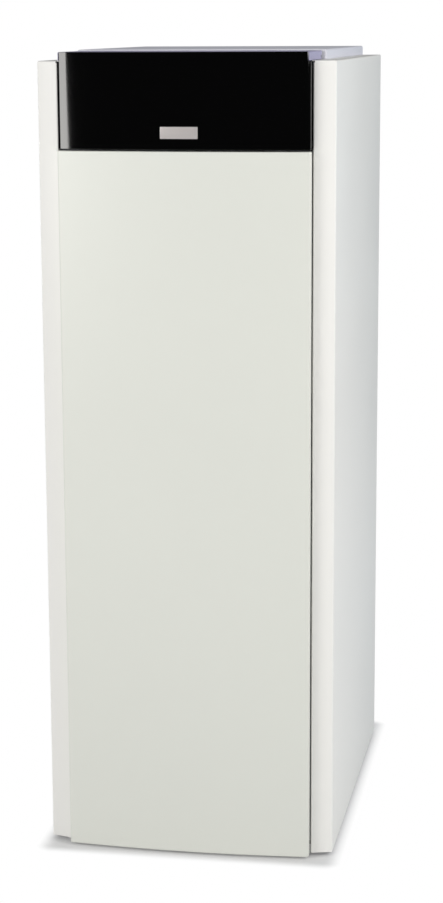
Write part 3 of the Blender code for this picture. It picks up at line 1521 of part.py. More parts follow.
def water_pipes(material):
    pump_top = BOILER_TOP_Z + SEAT + PUMP_PORT_LENGTH + SEAT
    pipe("flow_pipe", [
        (FLOW_X, FLOW_Y, pump_top),
        (FLOW_X, FLOW_Y, FLOW_Z),
        (FLOW_X, REAR_Y, FLOW_Z),
    ], PIPE_RADIUS, PIPE_BEND, material)
    entry = BOILER_BASE_Z + RETURN_ENTRY
    pipe("return_pipe", [
        (RETURN_X, REAR_Y, RETURN_Z),
        (RETURN_X, RETURN_DROP_Y, RETURN_Z),
        (RETURN_X, RETURN_DROP_Y, entry),
        (RETURN_X, BOILER_BACK_Y + SEAT, entry),
    ], PIPE_RADIUS, PIPE_BEND, material)
    for name, x, z in tank_pipes():
        route = [(x, tank_socket_y(), z), (x, REAR_Y, z)]
        pipe(name, route, WATER_PIPE_RADIUS, PIPE_BEND, material)
    charge_top = charge_low() + PUMP_PORT_LENGTH + SEAT
    charge_z = BOILER_BASE_Z + CHARGE_ENTRY
    pipe("charge_pipe", [
        (CHARGE_X, CHARGE_Y, charge_top),
        (CHARGE_X, CHARGE_Y, charge_z),
        (CHARGE_X, BOILER_FRONT_Y - SEAT, charge_z),
    ], PIPE_RADIUS, PIPE_BEND, material)


def expansion_vessel(material):
    half = VESSEL_HEIGHT / 2
    profile = [
        (VESSEL_FOOT_RADIUS, 0),
        (VESSEL_FOOT_RADIUS, VESSEL_FOOT),
        (VESSEL_RADIUS * VESSEL_DISH_SHARE, VESSEL_FOOT + VESSEL_DISH),
        (VESSEL_RADIUS, VESSEL_FOOT + half / 2),
        (VESSEL_RADIUS, half - VESSEL_SEAM),
        (VESSEL_RADIUS + VESSEL_SEAM, half - VESSEL_SEAM),
        (VESSEL_RADIUS + VESSEL_SEAM, half + VESSEL_SEAM),
        (VESSEL_RADIUS, half + VESSEL_SEAM),
        (VESSEL_RADIUS, VESSEL_HEIGHT - half / 2),
        (VESSEL_RADIUS * VESSEL_DISH_SHARE, VESSEL_HEIGHT - VESSEL_DISH),
        (VESSEL_FOOT_RADIUS, VESSEL_HEIGHT),
    ]
    foot = (VESSEL_X, VESSEL_Y, BOILER_TOP_Z + SEAT)
    put("expansion_vessel", turned("Z", profile), material, foot)


def safety_valve(material):
    cap = VALVE_HEIGHT - VALVE_CAP
    profile = [
        (VALVE_RADIUS, 0),
        (VALVE_RADIUS, cap / 2),
        (VALVE_NECK_RADIUS, cap / 2),
        (VALVE_NECK_RADIUS, cap),
        (VALVE_CAP_RADIUS, cap),
        (VALVE_CAP_RADIUS, VALVE_HEIGHT),
    ]
    foot = (VALVE_X, VALVE_Y, BOILER_TOP_Z + SEAT)
    put("safety_valve", turned("Z", profile, MIDDLE_ROUND), material, foot)


def drain_place():
    return (DRAIN_X, BOILER_FRONT_Y - SEAT - DRAIN_LENGTH / 2, BOILER_BASE_Z + DRAIN_RISE)


def drain_cock(material):
    x, y, z = drain_place()
    half = DRAIN_LENGTH / 2
    profile = [
        (DRAIN_NECK_RADIUS, half),
        (DRAIN_NECK_RADIUS, half / 2),
        (DRAIN_RADIUS, half / 2),
        (DRAIN_RADIUS, -half / 2),
        (DRAIN_NECK_RADIUS, -half / 2),
        (DRAIN_NECK_RADIUS, -half),
    ]
    item = put("drain_cock", turned("Y", profile, SMALL_ROUND), material, (x, y, z))
    stem_top = DRAIN_RADIUS + DRAIN_STEM
    stem = turned("Z", [(DRAIN_STEM_RADIUS, 0), (DRAIN_STEM_RADIUS, stem_top)], SMALL_ROUND)
    fuse(item, helper("drain_stem", stem, (x, y, z)))


def drain_lever(material, carrier):
    """A flat lever with an eye over the cock's stem."""
    half = LEVER_WIDTH / 2
    start = LEVER_NECK_ANGLE
    outline = arc((0, 0), LEVER_EYE_RADIUS, start, math.tau - start, EYE_STEPS)
    outline += arc((LEVER_LENGTH - half, 0), half, -math.pi / 2, math.pi / 2, END_STEPS)
    hole = circle(DRAIN_STEM_RADIUS + RUNNING_GAP, SMALL_ROUND)
    mesh = plate(outline, [hole], LEVER_THICKNESS)
    put("drain_lever", mesh, material, carrier.location, (0, 0, -math.pi / 2), carrier)


def cable_gland(material):
    count = MIDDLE_ROUND
    nut = hexagon(GLAND_NUT_WIDTH)
    inside = REAR_PANEL_FRONT_Y - SEAT
    outside = REAR_PANEL_BACK_Y + SEAT
    end = outside + GLAND_REACH
    rings = [
        along("Y", circle(GLAND_BORE, count), inside - GLAND_NUT),
        along("Y", nut, inside - GLAND_NUT),
        along("Y", nut, inside),
        along("Y", circle(GLAND_RADIUS, count), inside),
        along("Y", circle(GLAND_RADIUS, count), outside),
        along("Y", nut, outside),
        along("Y", nut, outside + GLAND_NUT),
        along("Y", circle(GLAND_RADIUS, count), outside + GLAND_NUT),
        along("Y", circle(GLAND_DOME_RADIUS, count), end),
        along("Y", circle(GLAND_BORE, count), end),
    ]
    put("cable_gland", loft(rings, closed=True), material, (GLAND_X, 0, GLAND_Z))


def build():
    clear_scene()
    white = finish("case_white", (0.80, 0.80, 0.76), 0.38)
    inner_grey = finish("frame_zinc", (0.55, 0.56, 0.58), 0.45, 0.9)
    hood_grey = finish("hood_grey", (0.56, 0.55, 0.63), 0.40)
    lid_grey = finish("lid_grey", (0.60, 0.61, 0.63), 0.42)
    fascia_black = finish("fascia_black", (0.004, 0.004, 0.004), 0.08)
    silver = finish("badge_silver", (0.80, 0.80, 0.82), 0.30, 0.9)
    console_grey = finish("console_grey", (0.30, 0.31, 0.33), 0.50)
    knob_black = finish("knob_black", (0.02, 0.02, 0.02), 0.35)
    jacket = finish("jacket_silver", (0.48, 0.49, 0.50), 0.55, 0.4)
    foam = finish("tank_foam", (0.10, 0.14, 0.22), 0.85)
    iron = finish("cast_iron", (0.08, 0.08, 0.085), 0.65, 0.6)
    alloy = finish("burner_alloy", (0.56, 0.57, 0.58), 0.40, 0.9)
    red = finish("signal_red", (0.55, 0.03, 0.03), 0.35)
    brass = finish("brass", (0.70, 0.50, 0.22), 0.30, 1.0)
    copper = finish("copper", (0.72, 0.40, 0.27), 0.30, 1.0)
    rubber = finish("foot_black", (0.03, 0.03, 0.03), 0.70)
    gauge_white = finish("gauge_white", (0.80, 0.80, 0.78), 0.45)

    for side in (-1, 1):
        side_panel(side, white)
        frame_post(side, inner_grey)
    rear_panel(inner_grey)
    base_tray(inner_grey)
    console_shelf(inner_grey)
    levelling_feet(rubber)

    door_axis = hinge_point("door_axis", (HINGE_X, HINGE_Y, HINGE_LOW_Z))
    front_door(white, door_axis)
    for name, z in (("lower", HINGE_LOW_Z), ("upper", HINGE_HIGH_Z)):
        hinge_bracket("hinge_bracket_" + name, z, inner_grey)
        hinge_lug("hinge_lug_" + name, z, inner_grey, door_axis)
    door_catch(knob_black)

    flap_axis = hinge_point("flap_axis", (0, PIVOT_Y, PIVOT_Z))
    fascia(fascia_black, flap_axis)
    console_hood(hood_grey, flap_axis)
    badge_plate(silver, flap_axis)
    top_cover(lid_grey)

    control_housing(console_grey)
    control_panel(console_grey)
    display_window(fascia_black)
    mains_switch(red, hinge_point("switch_axis", (SWITCH_X, CONTROL_FRONT_Y, CONTROL_Z)))
    for name, x in (("boiler_knob", BOILER_KNOB_X), ("hot_water_knob", WATER_KNOB_X)):
        knob(name, knob_black, hinge_point(name + "_axis", (x, CONTROL_FRONT_Y, CONTROL_Z)))
    gauge_body(gauge_white)
    dial_y = CONTROL_FRONT_Y - SEAT - GAUGE_HEIGHT + GAUGE_RECESS
    gauge_needle(red, hinge_point("needle_axis", (GAUGE_X, dial_y, CONTROL_Z)))

    hot_water_tank(foam)
    tank_cover(iron)
    stand("stand_front", BOILER_FRONT_Y + STAND_INSET, inner_grey)
    stand("stand_rear", BOILER_BACK_Y - STAND_INSET, inner_grey)
    boiler_body(jacket)
    boiler_front_plate(iron)
    flue_outlet(alloy)
    burner_housing(alloy)
    blast_tube(inner_grey)
    fan_wheel(inner_grey, hinge_point("fan_axis", (BURNER_X, SCROLL_Y, SCROLL_Z)))
    burner_motor(iron)
    oil_pump(alloy)
    burner_control(console_grey)
    x, z = control_box_middle()
    reset_button(red, hinge_point("button_axis", (x, control_box_front(), z)))
    oil_filter(brass)
    oil_pipes(copper)
    circulator("heating_pump", (FLOW_X, FLOW_Y, BOILER_TOP_Z + SEAT), iron)
    circulator("charging_pump", (CHARGE_X, CHARGE_Y, charge_low()), iron)
    water_pipes(copper)
    expansion_vessel(red)
    safety_valve(brass)
    drain_cock(brass)
    x, y, z = drain_place()
    lever_z = z + DRAIN_RADIUS + DRAIN_STEM - LEVER_STEM_DEPTH / 2
    drain_lever(red, hinge_point("lever_axis", (x, y, lever_z)))
    cable_gland(knob_black)


build()
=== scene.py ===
import json
import math

import bmesh
import bpy
import numpy as np
from mathutils import Matrix, Vector

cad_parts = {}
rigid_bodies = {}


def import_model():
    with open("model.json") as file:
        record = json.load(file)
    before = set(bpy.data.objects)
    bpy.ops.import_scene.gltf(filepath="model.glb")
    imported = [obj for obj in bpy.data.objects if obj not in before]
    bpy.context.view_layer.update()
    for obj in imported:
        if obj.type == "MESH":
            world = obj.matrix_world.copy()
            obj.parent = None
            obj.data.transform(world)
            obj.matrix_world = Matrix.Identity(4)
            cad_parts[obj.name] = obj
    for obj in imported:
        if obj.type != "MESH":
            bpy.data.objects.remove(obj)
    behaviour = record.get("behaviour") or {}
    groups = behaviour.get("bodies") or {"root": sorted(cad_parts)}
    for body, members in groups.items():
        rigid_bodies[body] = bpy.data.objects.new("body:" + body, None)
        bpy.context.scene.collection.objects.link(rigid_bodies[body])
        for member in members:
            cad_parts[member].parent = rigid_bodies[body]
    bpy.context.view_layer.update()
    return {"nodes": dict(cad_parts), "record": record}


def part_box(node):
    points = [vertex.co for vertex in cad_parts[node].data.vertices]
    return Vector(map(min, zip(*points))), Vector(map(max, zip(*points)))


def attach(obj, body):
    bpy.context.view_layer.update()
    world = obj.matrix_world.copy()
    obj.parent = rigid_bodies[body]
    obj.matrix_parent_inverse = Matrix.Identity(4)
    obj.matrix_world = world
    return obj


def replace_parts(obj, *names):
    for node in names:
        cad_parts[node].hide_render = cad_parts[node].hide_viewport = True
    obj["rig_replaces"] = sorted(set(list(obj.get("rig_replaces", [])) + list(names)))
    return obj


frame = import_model()
print("frame loaded")

# The photograph's camera: place in metres, angles in degrees, lens in millimetres on a 36 mm high frame
view = {
    "place": (0.8266, -4.5827, 1.7005),
    "turnLeft": 10.285,
    "lookDown": 11.291,
    "roll": -0.267,
    "lens": 84.98,
    "frameHeight": 36.0,
    "farthest": 60.0,
}


# The camera stands at its place and is rolled, then tilted down, then turned left.
def addCamera():
    data = bpy.data.cameras.new("photoCamera")
    data.sensor_fit = "VERTICAL"
    data.sensor_height = view["frameHeight"]
    data.lens = view["lens"]
    data.clip_end = view["farthest"]
    camera = bpy.data.objects.new("photoCamera", data)
    bpy.context.scene.collection.objects.link(camera)
    heading = Matrix.Rotation(math.radians(view["turnLeft"]), 4, "Z")
    tilt = Matrix.Rotation(math.radians(90 - view["lookDown"]), 4, "X")
    roll = Matrix.Rotation(math.radians(view["roll"]), 4, "Z")
    camera.matrix_world = Matrix.Translation(view["place"]) @ heading @ tilt @ roll
    bpy.context.scene.camera = camera


addCamera()
print("camera set")


# Shaping

# What every piece shares: distances in metres, angles in degrees and the steps of a round corner
meshing = {
    "merge": 1e-6, "sourceMerge": 2e-6, "flatAngle": 0.5, "smoothAngle": 35, "crispAngle": 30,
    "cornerSteps": 8,
}


# A rectangle's outline with round corners: each corner is a quarter turn about its own centre.
def roundedOutline(left, right, low, high, radius, steps=meshing["cornerSteps"]):
    centres = np.array([
        [right - radius, high - radius], [left + radius, high - radius],
        [left + radius, low + radius], [right - radius, low + radius],
    ])
    turn = np.arange(4)[:, None] * np.pi / 2 + np.linspace(0, np.pi / 2, steps + 1)
    return (centres[:, None] + radius * np.stack([np.cos(turn), np.sin(turn)], -1)).reshape(-1, 2)


# An open path in a plane whose corners are arcs of one radius, tangent to both sides: each arc's spokes
# are a blend, by sines of the angle gone and the angle left, of its first and its last spoke.
def foldedPath(corners, radius, steps):
    corners = np.asarray(corners, float)
    back = corners[:-2] - corners[1:-1]
    ahead = corners[2:] - corners[1:-1]
    back /= np.linalg.norm(back, axis=1, keepdims=True)
    ahead /= np.linalg.norm(ahead, axis=1, keepdims=True)
    half = np.arccos(np.sum(back * ahead, 1)) / 2
    middle = back + ahead
    middle /= np.linalg.norm(middle, axis=1, keepdims=True)
    centre = corners[1:-1] + middle * (radius / np.sin(half))[:, None]
    first = corners[1:-1] + back * (radius / np.tan(half))[:, None] - centre
    last = corners[1:-1] + ahead * (radius / np.tan(half))[:, None] - centre
    share = np.linspace(0, 1, steps + 1)[None, :, None]
    sweep = (np.pi - 2 * half)[:, None, None]
    leaving = first[:, None] * np.sin((1 - share) * sweep)
    arriving = last[:, None] * np.sin(share * sweep)
    bends = (centre[:, None] + (leaving + arriving) / np.sin(sweep)).reshape(-1, 2)
    return np.vstack([corners[:1], bends, corners[-1:]])


# Plane points set in space: "x" takes (y, z), "y" takes (x, z), "z" takes (x, y).
def placed(points, axis, level):
    points = np.asarray(points, float)
    level = np.broadcast_to(np.asarray(level, float), points.shape[:-1])[..., None]
    parts = {"x": [level, points], "z": [points, level]}
    if axis in parts:
        return np.concatenate(parts[axis], -1)
    return np.concatenate([points[..., :1], level, points[..., 1:]], -1)


# A mesh object from points and faces, its doubles merged and its edges sharp beyond one angle.
def newPiece(name, points, faces, smoothAngle=meshing["smoothAngle"], outward=True):
    mesh = bpy.data.meshes.new(name)
    mesh.from_pydata(points.tolist(), [], faces)
    shape = bmesh.new()
    shape.from_mesh(mesh)
    bmesh.ops.remove_doubles(shape, verts=shape.verts, dist=meshing["merge"])
    if outward:
        bmesh.ops.recalc_face_normals(shape, faces=shape.faces)
    shape.to_mesh(mesh)
    shape.free()
    mesh.shade_smooth()
    mesh.set_sharp_from_angle(angle=math.radians(smoothAngle))
    piece = bpy.data.objects.new(name, mesh)
    bpy.context.scene.collection.objects.link(piece)
    return piece


# Quads between the rows of a grid of points; keep masks single quads, wrap joins each row's ends.
def gridFaces(rows, columns, wrap=False, keep=None):
    index = np.arange(rows * columns).reshape(rows, columns)
    right = np.roll(index, -1, 1) if wrap else index[:, 1:]
    left = index if wrap else index[:, :-1]
    quads = np.stack([left[:-1], right[:-1], right[1:], left[1:]], -1)
    return quads[keep].tolist() if keep is not None else quads.reshape(-1, 4).tolist()


# A plan path repeated at each level.
def carried(plan, levels):
    shape = (len(levels), len(plan))
    return placed(np.broadcast_to(plan, (*shape, 2)), "z", np.broadcast_to(levels[:, None], shape))


# A closed skin through rings of points, with its two ends capped or its last ring joined to its first.
def skin(name, rings, joined=False, smoothAngle=meshing["smoothAngle"]):
    rings = np.asarray(rings, float)
    if joined:
        rings = np.concatenate([rings, rings[:1]])
    count, around, _ = rings.shape
    faces = gridFaces(count, around, wrap=True)
    if not joined:
        faces.append(list(range(around)))
        faces.append(list(range((count - 1) * around, count * around)))
    return newPiece(name, rings.reshape(-1, 3), faces, smoothAngle)


# A turned shape: the profile's radii swept round an axis at their levels.
def turned(name, profile, axis, centre, around, joined=False):
    profile = np.asarray(profile, float)
    angle = np.linspace(0, 2 * np.pi, around, endpoint=False)
    circle = np.stack([np.cos(angle), np.sin(angle)], -1)
    rings = placed(profile[:, None, :1] * circle[None], axis, profile[:, 1:2])
    return skin(name, rings + np.asarray(centre, float), joined)


# A sheet's thickness goes to the back of its faces.
def addWall(piece, thickness):
    wall = piece.modifiers.new("wall", "SOLIDIFY")
    wall.thickness = thickness
    wall.offset = -1
    wall.use_even_offset = True


# Edges sharper than the angle are rounded in a few steps.
def softenEdges(piece, width, steps, angle):
    bevel = piece.modifiers.new("softEdges", "BEVEL")
    bevel.width = width
    bevel.segments = steps
    bevel.limit_method = "ANGLE"
    bevel.angle_limit = math.radians(angle)
    bevel.harden_normals = True
    bevel.use_clamp_overlap = True


# The piece gets its material, rides on its body and stands for the nodes named, if any.
def standFor(piece, material, body, *nodes):
    piece.data.materials.clear()
    piece.data.materials.append(material)
    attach(piece, body)
    if nodes:
        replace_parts(piece, *nodes)
    return piece


# The bowed front, as the photograph shows it
bow = {"depth": 0.0128, "side": 0.254, "slices": 24}


# The piece is sliced across, and its points move forward by the bow's depth times one minus the square
# of x over the side: wholly at the level full, not at all at the level still.
def bowFront(piece, full, still):
    shape = bmesh.new()
    shape.from_mesh(piece.data)
    for x in np.linspace(-bow["side"], bow["side"], bow["slices"] + 1)[1:-1]:
        everything = shape.verts[:] + shape.edges[:] + shape.faces[:]
        bmesh.ops.bisect_plane(
            shape, geom=everything, dist=meshing["merge"], plane_co=(x, 0, 0), plane_no=(1, 0, 0)
        )
    shape.to_mesh(piece.data)
    shape.free()
    points = np.empty(len(piece.data.vertices) * 3, np.float32)
    piece.data.vertices.foreach_get("co", points)
    points = points.reshape(-1, 3)
    share = np.clip((still - points[:, 1]) / (still - full), 0, 1)
    points[:, 1] -= bow["depth"] * (1 - (points[:, 0] / bow["side"]) ** 2) * share
    piece.data.vertices.foreach_set("co", points.ravel())
    piece.data.set_sharp_from_angle(angle=math.radians(meshing["crispAngle"]))
    piece.data.update()


# Shared shader groups

# A node group with its number inputs and their usual values, and its outputs with their socket kinds.
def newGroup(name, inputs, outputs):
    group = bpy.data.node_groups.new(name, "ShaderNodeTree")
    for label, value in inputs.items():
        socket = group.interface.new_socket(label, in_out="INPUT", socket_type="NodeSocketFloat")
        socket.default_value = value
    for label, kind in outputs.items():
        group.interface.new_socket(label, in_out="OUTPUT", socket_type=kind)
    start = group.nodes.new("NodeGroupInput")
    end = group.nodes.new("NodeGroupOutput")
    return group, start, end


# A node with some settings and input values; an underscore in a value's name stands for a space.
def addNode(tree, kind, settings=None, **values):
    node = tree.nodes.new(kind)
    for key, value in (settings or {}).items():
        setattr(node, key, value)
    for key, value in values.items():
        node.inputs[key.replace("_", " ")].default_value = value
    return node


# Fine bumps over broad, soft unevenness, both from noise on the object's own coordinates.
def makeGrainGroup():
    group, start, end = newGroup(
        "fineGrain",
        {"Fine Scale": 900.0, "Broad Scale": 6.0, "Stretch Z": 1.0},
        {"Fine": "NodeSocketFloat", "Broad": "NodeSocketFloat"},
    )
    place = group.nodes.new("ShaderNodeTexCoord")
    stretch = group.nodes.new("ShaderNodeMapping")
    combine = group.nodes.new("ShaderNodeCombineXYZ")
    combine.inputs["X"].default_value = 1.0
    combine.inputs["Y"].default_value = 1.0
    group.links.new(start.outputs["Stretch Z"], combine.inputs["Z"])
    group.links.new(combine.outputs["Vector"], stretch.inputs["Scale"])
    group.links.new(place.outputs["Object"], stretch.inputs["Vector"])
    for label, scale, detail in (("Fine", "Fine Scale", 2.0), ("Broad", "Broad Scale", 3.0)):
        noise = addNode(group, "ShaderNodeTexNoise", Detail=detail)
        group.links.new(stretch.outputs["Vector"], noise.inputs["Vector"])
        group.links.new(start.outputs[scale], noise.inputs["Scale"])
        group.links.new(noise.outputs["Fac"], end.inputs[label])
    return group


# Crystal patches with their own brightness, as on zinc plated sheet.
def makeSpangleGroup():
    group, start, end = newGroup("spangle", {"Patch Scale": 90.0}, {"Patch": "NodeSocketFloat"})
    place = group.nodes.new("ShaderNodeTexCoord")
    cells = group.nodes.new("ShaderNodeTexVoronoi")
    group.links.new(place.outputs["Object"], cells.inputs["Vector"])
    group.links.new(start.outputs["Patch Scale"], cells.inputs["Scale"])
    grey = group.nodes.new("ShaderNodeRGBToBW")
    group.links.new(cells.outputs["Color"], grey.inputs["Color"])
    group.links.new(grey.outputs["Val"], end.inputs["Patch"])
    return group


grainGroup = makeGrainGroup()
spangleGroup = makeSpangleGroup()


# What a finish has where its own values say nothing else
usual = {
    "metallic": 0.0, "specular": 0.5, "coat": 0.0, "coatRoughness": 0.05, "spread": 0.05, "drift": 0.03,
    "fineScale": 900, "broadScale": 6, "stretch": 1.0, "bump": 0.1, "depth": 0.0003,
}


# One finish: a Principled shader whose colour and roughness drift a little, with a fine bump.
def newFinish(name, own):
    values = {**usual, **own}
    material = bpy.data.materials.new(name)
    material.use_nodes = True
    tree = material.node_tree
    shader = tree.nodes["Principled BSDF"]
    shader.inputs["Metallic"].default_value = values["metallic"]
    shader.inputs["Specular IOR Level"].default_value = values["specular"]
    shader.inputs["Coat Weight"].default_value = values["coat"]
    shader.inputs["Coat Roughness"].default_value = values["coatRoughness"]
    grain = tree.nodes.new("ShaderNodeGroup")
    grain.node_tree = grainGroup
    grain.inputs["Fine Scale"].default_value = values["fineScale"]
    grain.inputs["Broad Scale"].default_value = values["broadScale"]
    grain.inputs["Stretch Z"].default_value = values["stretch"]
    driftSource = grain.outputs["Broad"]
    if "patches" in values:
        spangle = tree.nodes.new("ShaderNodeGroup")
        spangle.node_tree = spangleGroup
        spangle.inputs["Patch Scale"].default_value = values["patches"]
        driftSource = spangle.outputs["Patch"]
    tint = tree.nodes.new("ShaderNodeMix")
    tint.data_type = "RGBA"
    colour = np.array(values["colour"])
    tint.inputs["A"].default_value = (*np.clip(colour * (1 - values["drift"]), 0, 1), 1)
    tint.inputs["B"].default_value = (*np.clip(colour * (1 + values["drift"]), 0, 1), 1)
    tree.links.new(driftSource, tint.inputs["Factor"])
    tree.links.new(tint.outputs["Result"], shader.inputs["Base Color"])
    low, high = values["roughness"] - values["spread"], values["roughness"] + values["spread"]
    gloss = addNode(tree, "ShaderNodeMapRange", To_Min=low, To_Max=high)
    tree.links.new(grain.outputs["Broad"], gloss.inputs["Value"])
    tree.links.new(gloss.outputs["Result"], shader.inputs["Roughness"])
    bump = addNode(tree, "ShaderNodeBump", Strength=values["bump"], Distance=values["depth"])
    tree.links.new(grain.outputs["Fine"], bump.inputs["Height"])
    tree.links.new(bump.outputs["Normal"], shader.inputs["Normal"])
    return material


finishes = {
    "caseWhite": {
        "colour": (0.87, 0.86, 0.83), "roughness": 0.36, "spread": 0.03, "drift": 0.008, "broadScale": 3,
        "bump": 0.06, "fineScale": 1300,
    },
    # The door's white is the case's white paint made darker and greener: painted shade, standing for the
    # lesser light the door gets beside the side panels.
    "doorShadedWhite": {
        "colour": (0.745, 0.755, 0.70), "roughness": 0.38, "spread": 0.03, "drift": 0.008, "broadScale": 3,
        "bump": 0.06, "fineScale": 1300,
    },
    "frameZinc": {
        "colour": (0.52, 0.53, 0.55), "metallic": 0.5, "roughness": 0.44, "patches": 110, "drift": 0.10,
        "bump": 0.05,
    },
    # The hood is painted light grey like the casing; this darker lilac is the shade on its side faces,
    # painted into its colour all over.
    "hoodShadeLilac": {
        "colour": (0.39, 0.37, 0.52), "roughness": 0.45, "specular": 0.3, "drift": 0.01, "bump": 0.06,
        "fineScale": 1300,
    },
    # The lid is white sheet; its grey with a blue cast is painted shade, the tint of the shadowed sides, put
    # into its colour.
    "lidShadeGrey": {
        "colour": (0.66, 0.66, 0.72), "roughness": 0.50, "specular": 0.3, "drift": 0.01, "bump": 0.06,
        "fineScale": 1300,
    },
    "fasciaBlack": {
        "colour": (0.0004, 0.0004, 0.0005), "roughness": 0.035, "spread": 0.005, "specular": 0.6,
        "drift": 0.1, "bump": 0.004,
    },
    "badgeSilver": {
        "colour": (0.66, 0.62, 0.61), "metallic": 0.6, "roughness": 0.34, "bump": 0.05, "stretch": 0.05,
    },
    "consoleGrey": {"colour": (0.20, 0.21, 0.23), "roughness": 0.55, "bump": 0.22, "fineScale": 2200},
    "knobBlack": {"colour": (0.018, 0.018, 0.019), "roughness": 0.42, "bump": 0.15, "fineScale": 2200},
    "switchRed": {"colour": (0.50, 0.022, 0.020), "roughness": 0.22, "bump": 0.03, "coat": 0.3},
    "markWhite": {"colour": (0.80, 0.80, 0.79), "roughness": 0.5, "bump": 0.02, "drift": 0.02},
    "screenGreen": {
        "colour": (0.16, 0.23, 0.17), "roughness": 0.18, "bump": 0.01, "drift": 0.05, "coat": 0.4,
    },
    "displayGlass": {
        "colour": (0.006, 0.007, 0.009), "roughness": 0.10, "bump": 0.01, "spread": 0.02, "coat": 0.5,
    },
    "boltSteel": {
        "colour": (0.56, 0.57, 0.58), "metallic": 0.7, "roughness": 0.36, "drift": 0.08, "broadScale": 40,
        "bump": 0.08,
    },
    "gaugeWhite": {"colour": (0.78, 0.78, 0.75), "roughness": 0.35, "bump": 0.03},
    "tankFoam": {
        "colour": (0.07, 0.13, 0.26), "roughness": 0.62, "drift": 0.10, "broadScale": 9, "bump": 0.5,
        "fineScale": 420, "depth": 0.0012,
    },
    "jacketSilver": {
        "colour": (0.62, 0.63, 0.65), "metallic": 0.75, "roughness": 0.36, "drift": 0.06, "bump": 0.6,
        "fineScale": 60, "depth": 0.003,
    },
    "castIron": {
        "colour": (0.045, 0.046, 0.05), "roughness": 0.55, "drift": 0.12, "bump": 0.45, "fineScale": 500,
        "depth": 0.0008,
    },
    "flueSteel": {
        "colour": (0.60, 0.60, 0.61), "metallic": 0.8, "roughness": 0.30, "bump": 0.06, "stretch": 0.05,
    },
    "burnerAlloy": {
        "colour": (0.55, 0.56, 0.57), "metallic": 0.8, "roughness": 0.48, "drift": 0.05, "bump": 0.35,
        "fineScale": 650, "depth": 0.0006,
    },
    "motorDark": {"colour": (0.05, 0.055, 0.065), "roughness": 0.48, "bump": 0.3, "fineScale": 600},
    "brass": {"colour": (0.72, 0.50, 0.20), "metallic": 1.0, "roughness": 0.30, "bump": 0.08, "drift": 0.08},
    "copper": {
        "colour": (0.76, 0.40, 0.25), "metallic": 1.0, "roughness": 0.30, "drift": 0.12, "broadScale": 14,
        "bump": 0.06, "stretch": 0.08,
    },
    "vesselRed": {"colour": (0.50, 0.025, 0.022), "roughness": 0.30, "bump": 0.05, "coat": 0.2},
    "footBlack": {"colour": (0.022, 0.022, 0.023), "roughness": 0.70, "bump": 0.3, "fineScale": 1500},
}
finish = {name: newFinish(name, values) for name, values in finishes.items()}
print("finishes made")

# Which finish a slot or a single node takes, and which body a node is on
slotFinish = {
    "case_white": "caseWhite", "frame_zinc": "frameZinc", "hood_grey": "hoodShadeLilac", "lid_grey": "lidShadeGrey",
    "fascia_black": "fasciaBlack", "badge_silver": "badgeSilver", "console_grey": "consoleGrey",
    "knob_black": "knobBlack", "switch_red": "switchRed", "gauge_white": "gaugeWhite",
    "tank_foam": "tankFoam", "jacket_silver": "jacketSilver", "cast_iron": "castIron",
    "flue_steel": "flueSteel", "burner_alloy": "burnerAlloy", "motor_dark": "motorDark", "brass": "brass",
    "copper": "copper", "vessel_red": "vesselRed", "lever_red": "vesselRed", "foot_black": "footBlack",
}
nodeFinish = {"display_window": "displayGlass"}
nodeSlot = {entry["node"]: entry["material_slot"] for entry in frame["record"]["subparts"]}
nodeBody = {node: body for body, nodes in frame["record"]["behaviour"]["bodies"].items() for node in nodes}


# Doors and panels

door = {
    "side": 0.2540, "low": 0.005, "high": 1.459, "front": -0.440, "back": -0.4215, "edge": 0.0026,
    "sheet": 0.0012, "lip": 0.015, "hem": 0.0022, "corner": 0.0030, "steps": 6,
}


# A folded pan: its outline grows by the sine of a quarter turn round the edge, runs back, turns in to a
# lip and returns inside.
def makeDoor():
    turn = np.linspace(0, np.pi / 2, door["steps"] + 1)
    inset = door["edge"] * (1 - np.sin(turn))
    level = door["front"] + door["edge"] * (1 - np.cos(turn))

    def ring(left, other, y, radius):
        return placed(roundedOutline(
            -door["side"] + left, door["side"] - other, door["low"] + other, door["high"] - other, radius
        ), "y", y)

    wall = door["sheet"]
    lipFront = door["back"] - wall
    rings = [ring(i, i, y, door["corner"]) for i, y in zip(inset, level)]
    rings += [
        ring(0, 0, door["back"], door["corner"]),
        ring(door["hem"], door["lip"], door["back"], door["corner"] - wall),
        ring(door["hem"], door["lip"], lipFront, door["corner"] - wall),
        ring(wall, wall, lipFront, door["corner"] - wall),
        ring(wall, wall, door["front"] + door["edge"], door["corner"] - wall),
        ring(door["edge"], door["edge"], door["front"] + wall, door["corner"] - wall),
    ]
    piece = skin("doorPanel", rings, smoothAngle=meshing["crispAngle"])
    bowFront(piece, door["front"] + door["edge"], lipFront)
    standFor(piece, finish["doorShadedWhite"], "door", "front_door")


sidePanel = {
    "outer": 0.300, "facetIn": 0.2555, "front": -0.408, "facetFront": -0.4213, "back": 0.402,
    "low": 0.008, "high": 1.634, "frontReturn": 0.012, "rearReturn": 0.025, "flange": 0.047,
    "bend": 0.0028, "sheet": 0.0012, "relief": 0.004, "steps": 6, "wallRows": 3,
    "edge": 0.0003, "edgeAngle": 60,
}


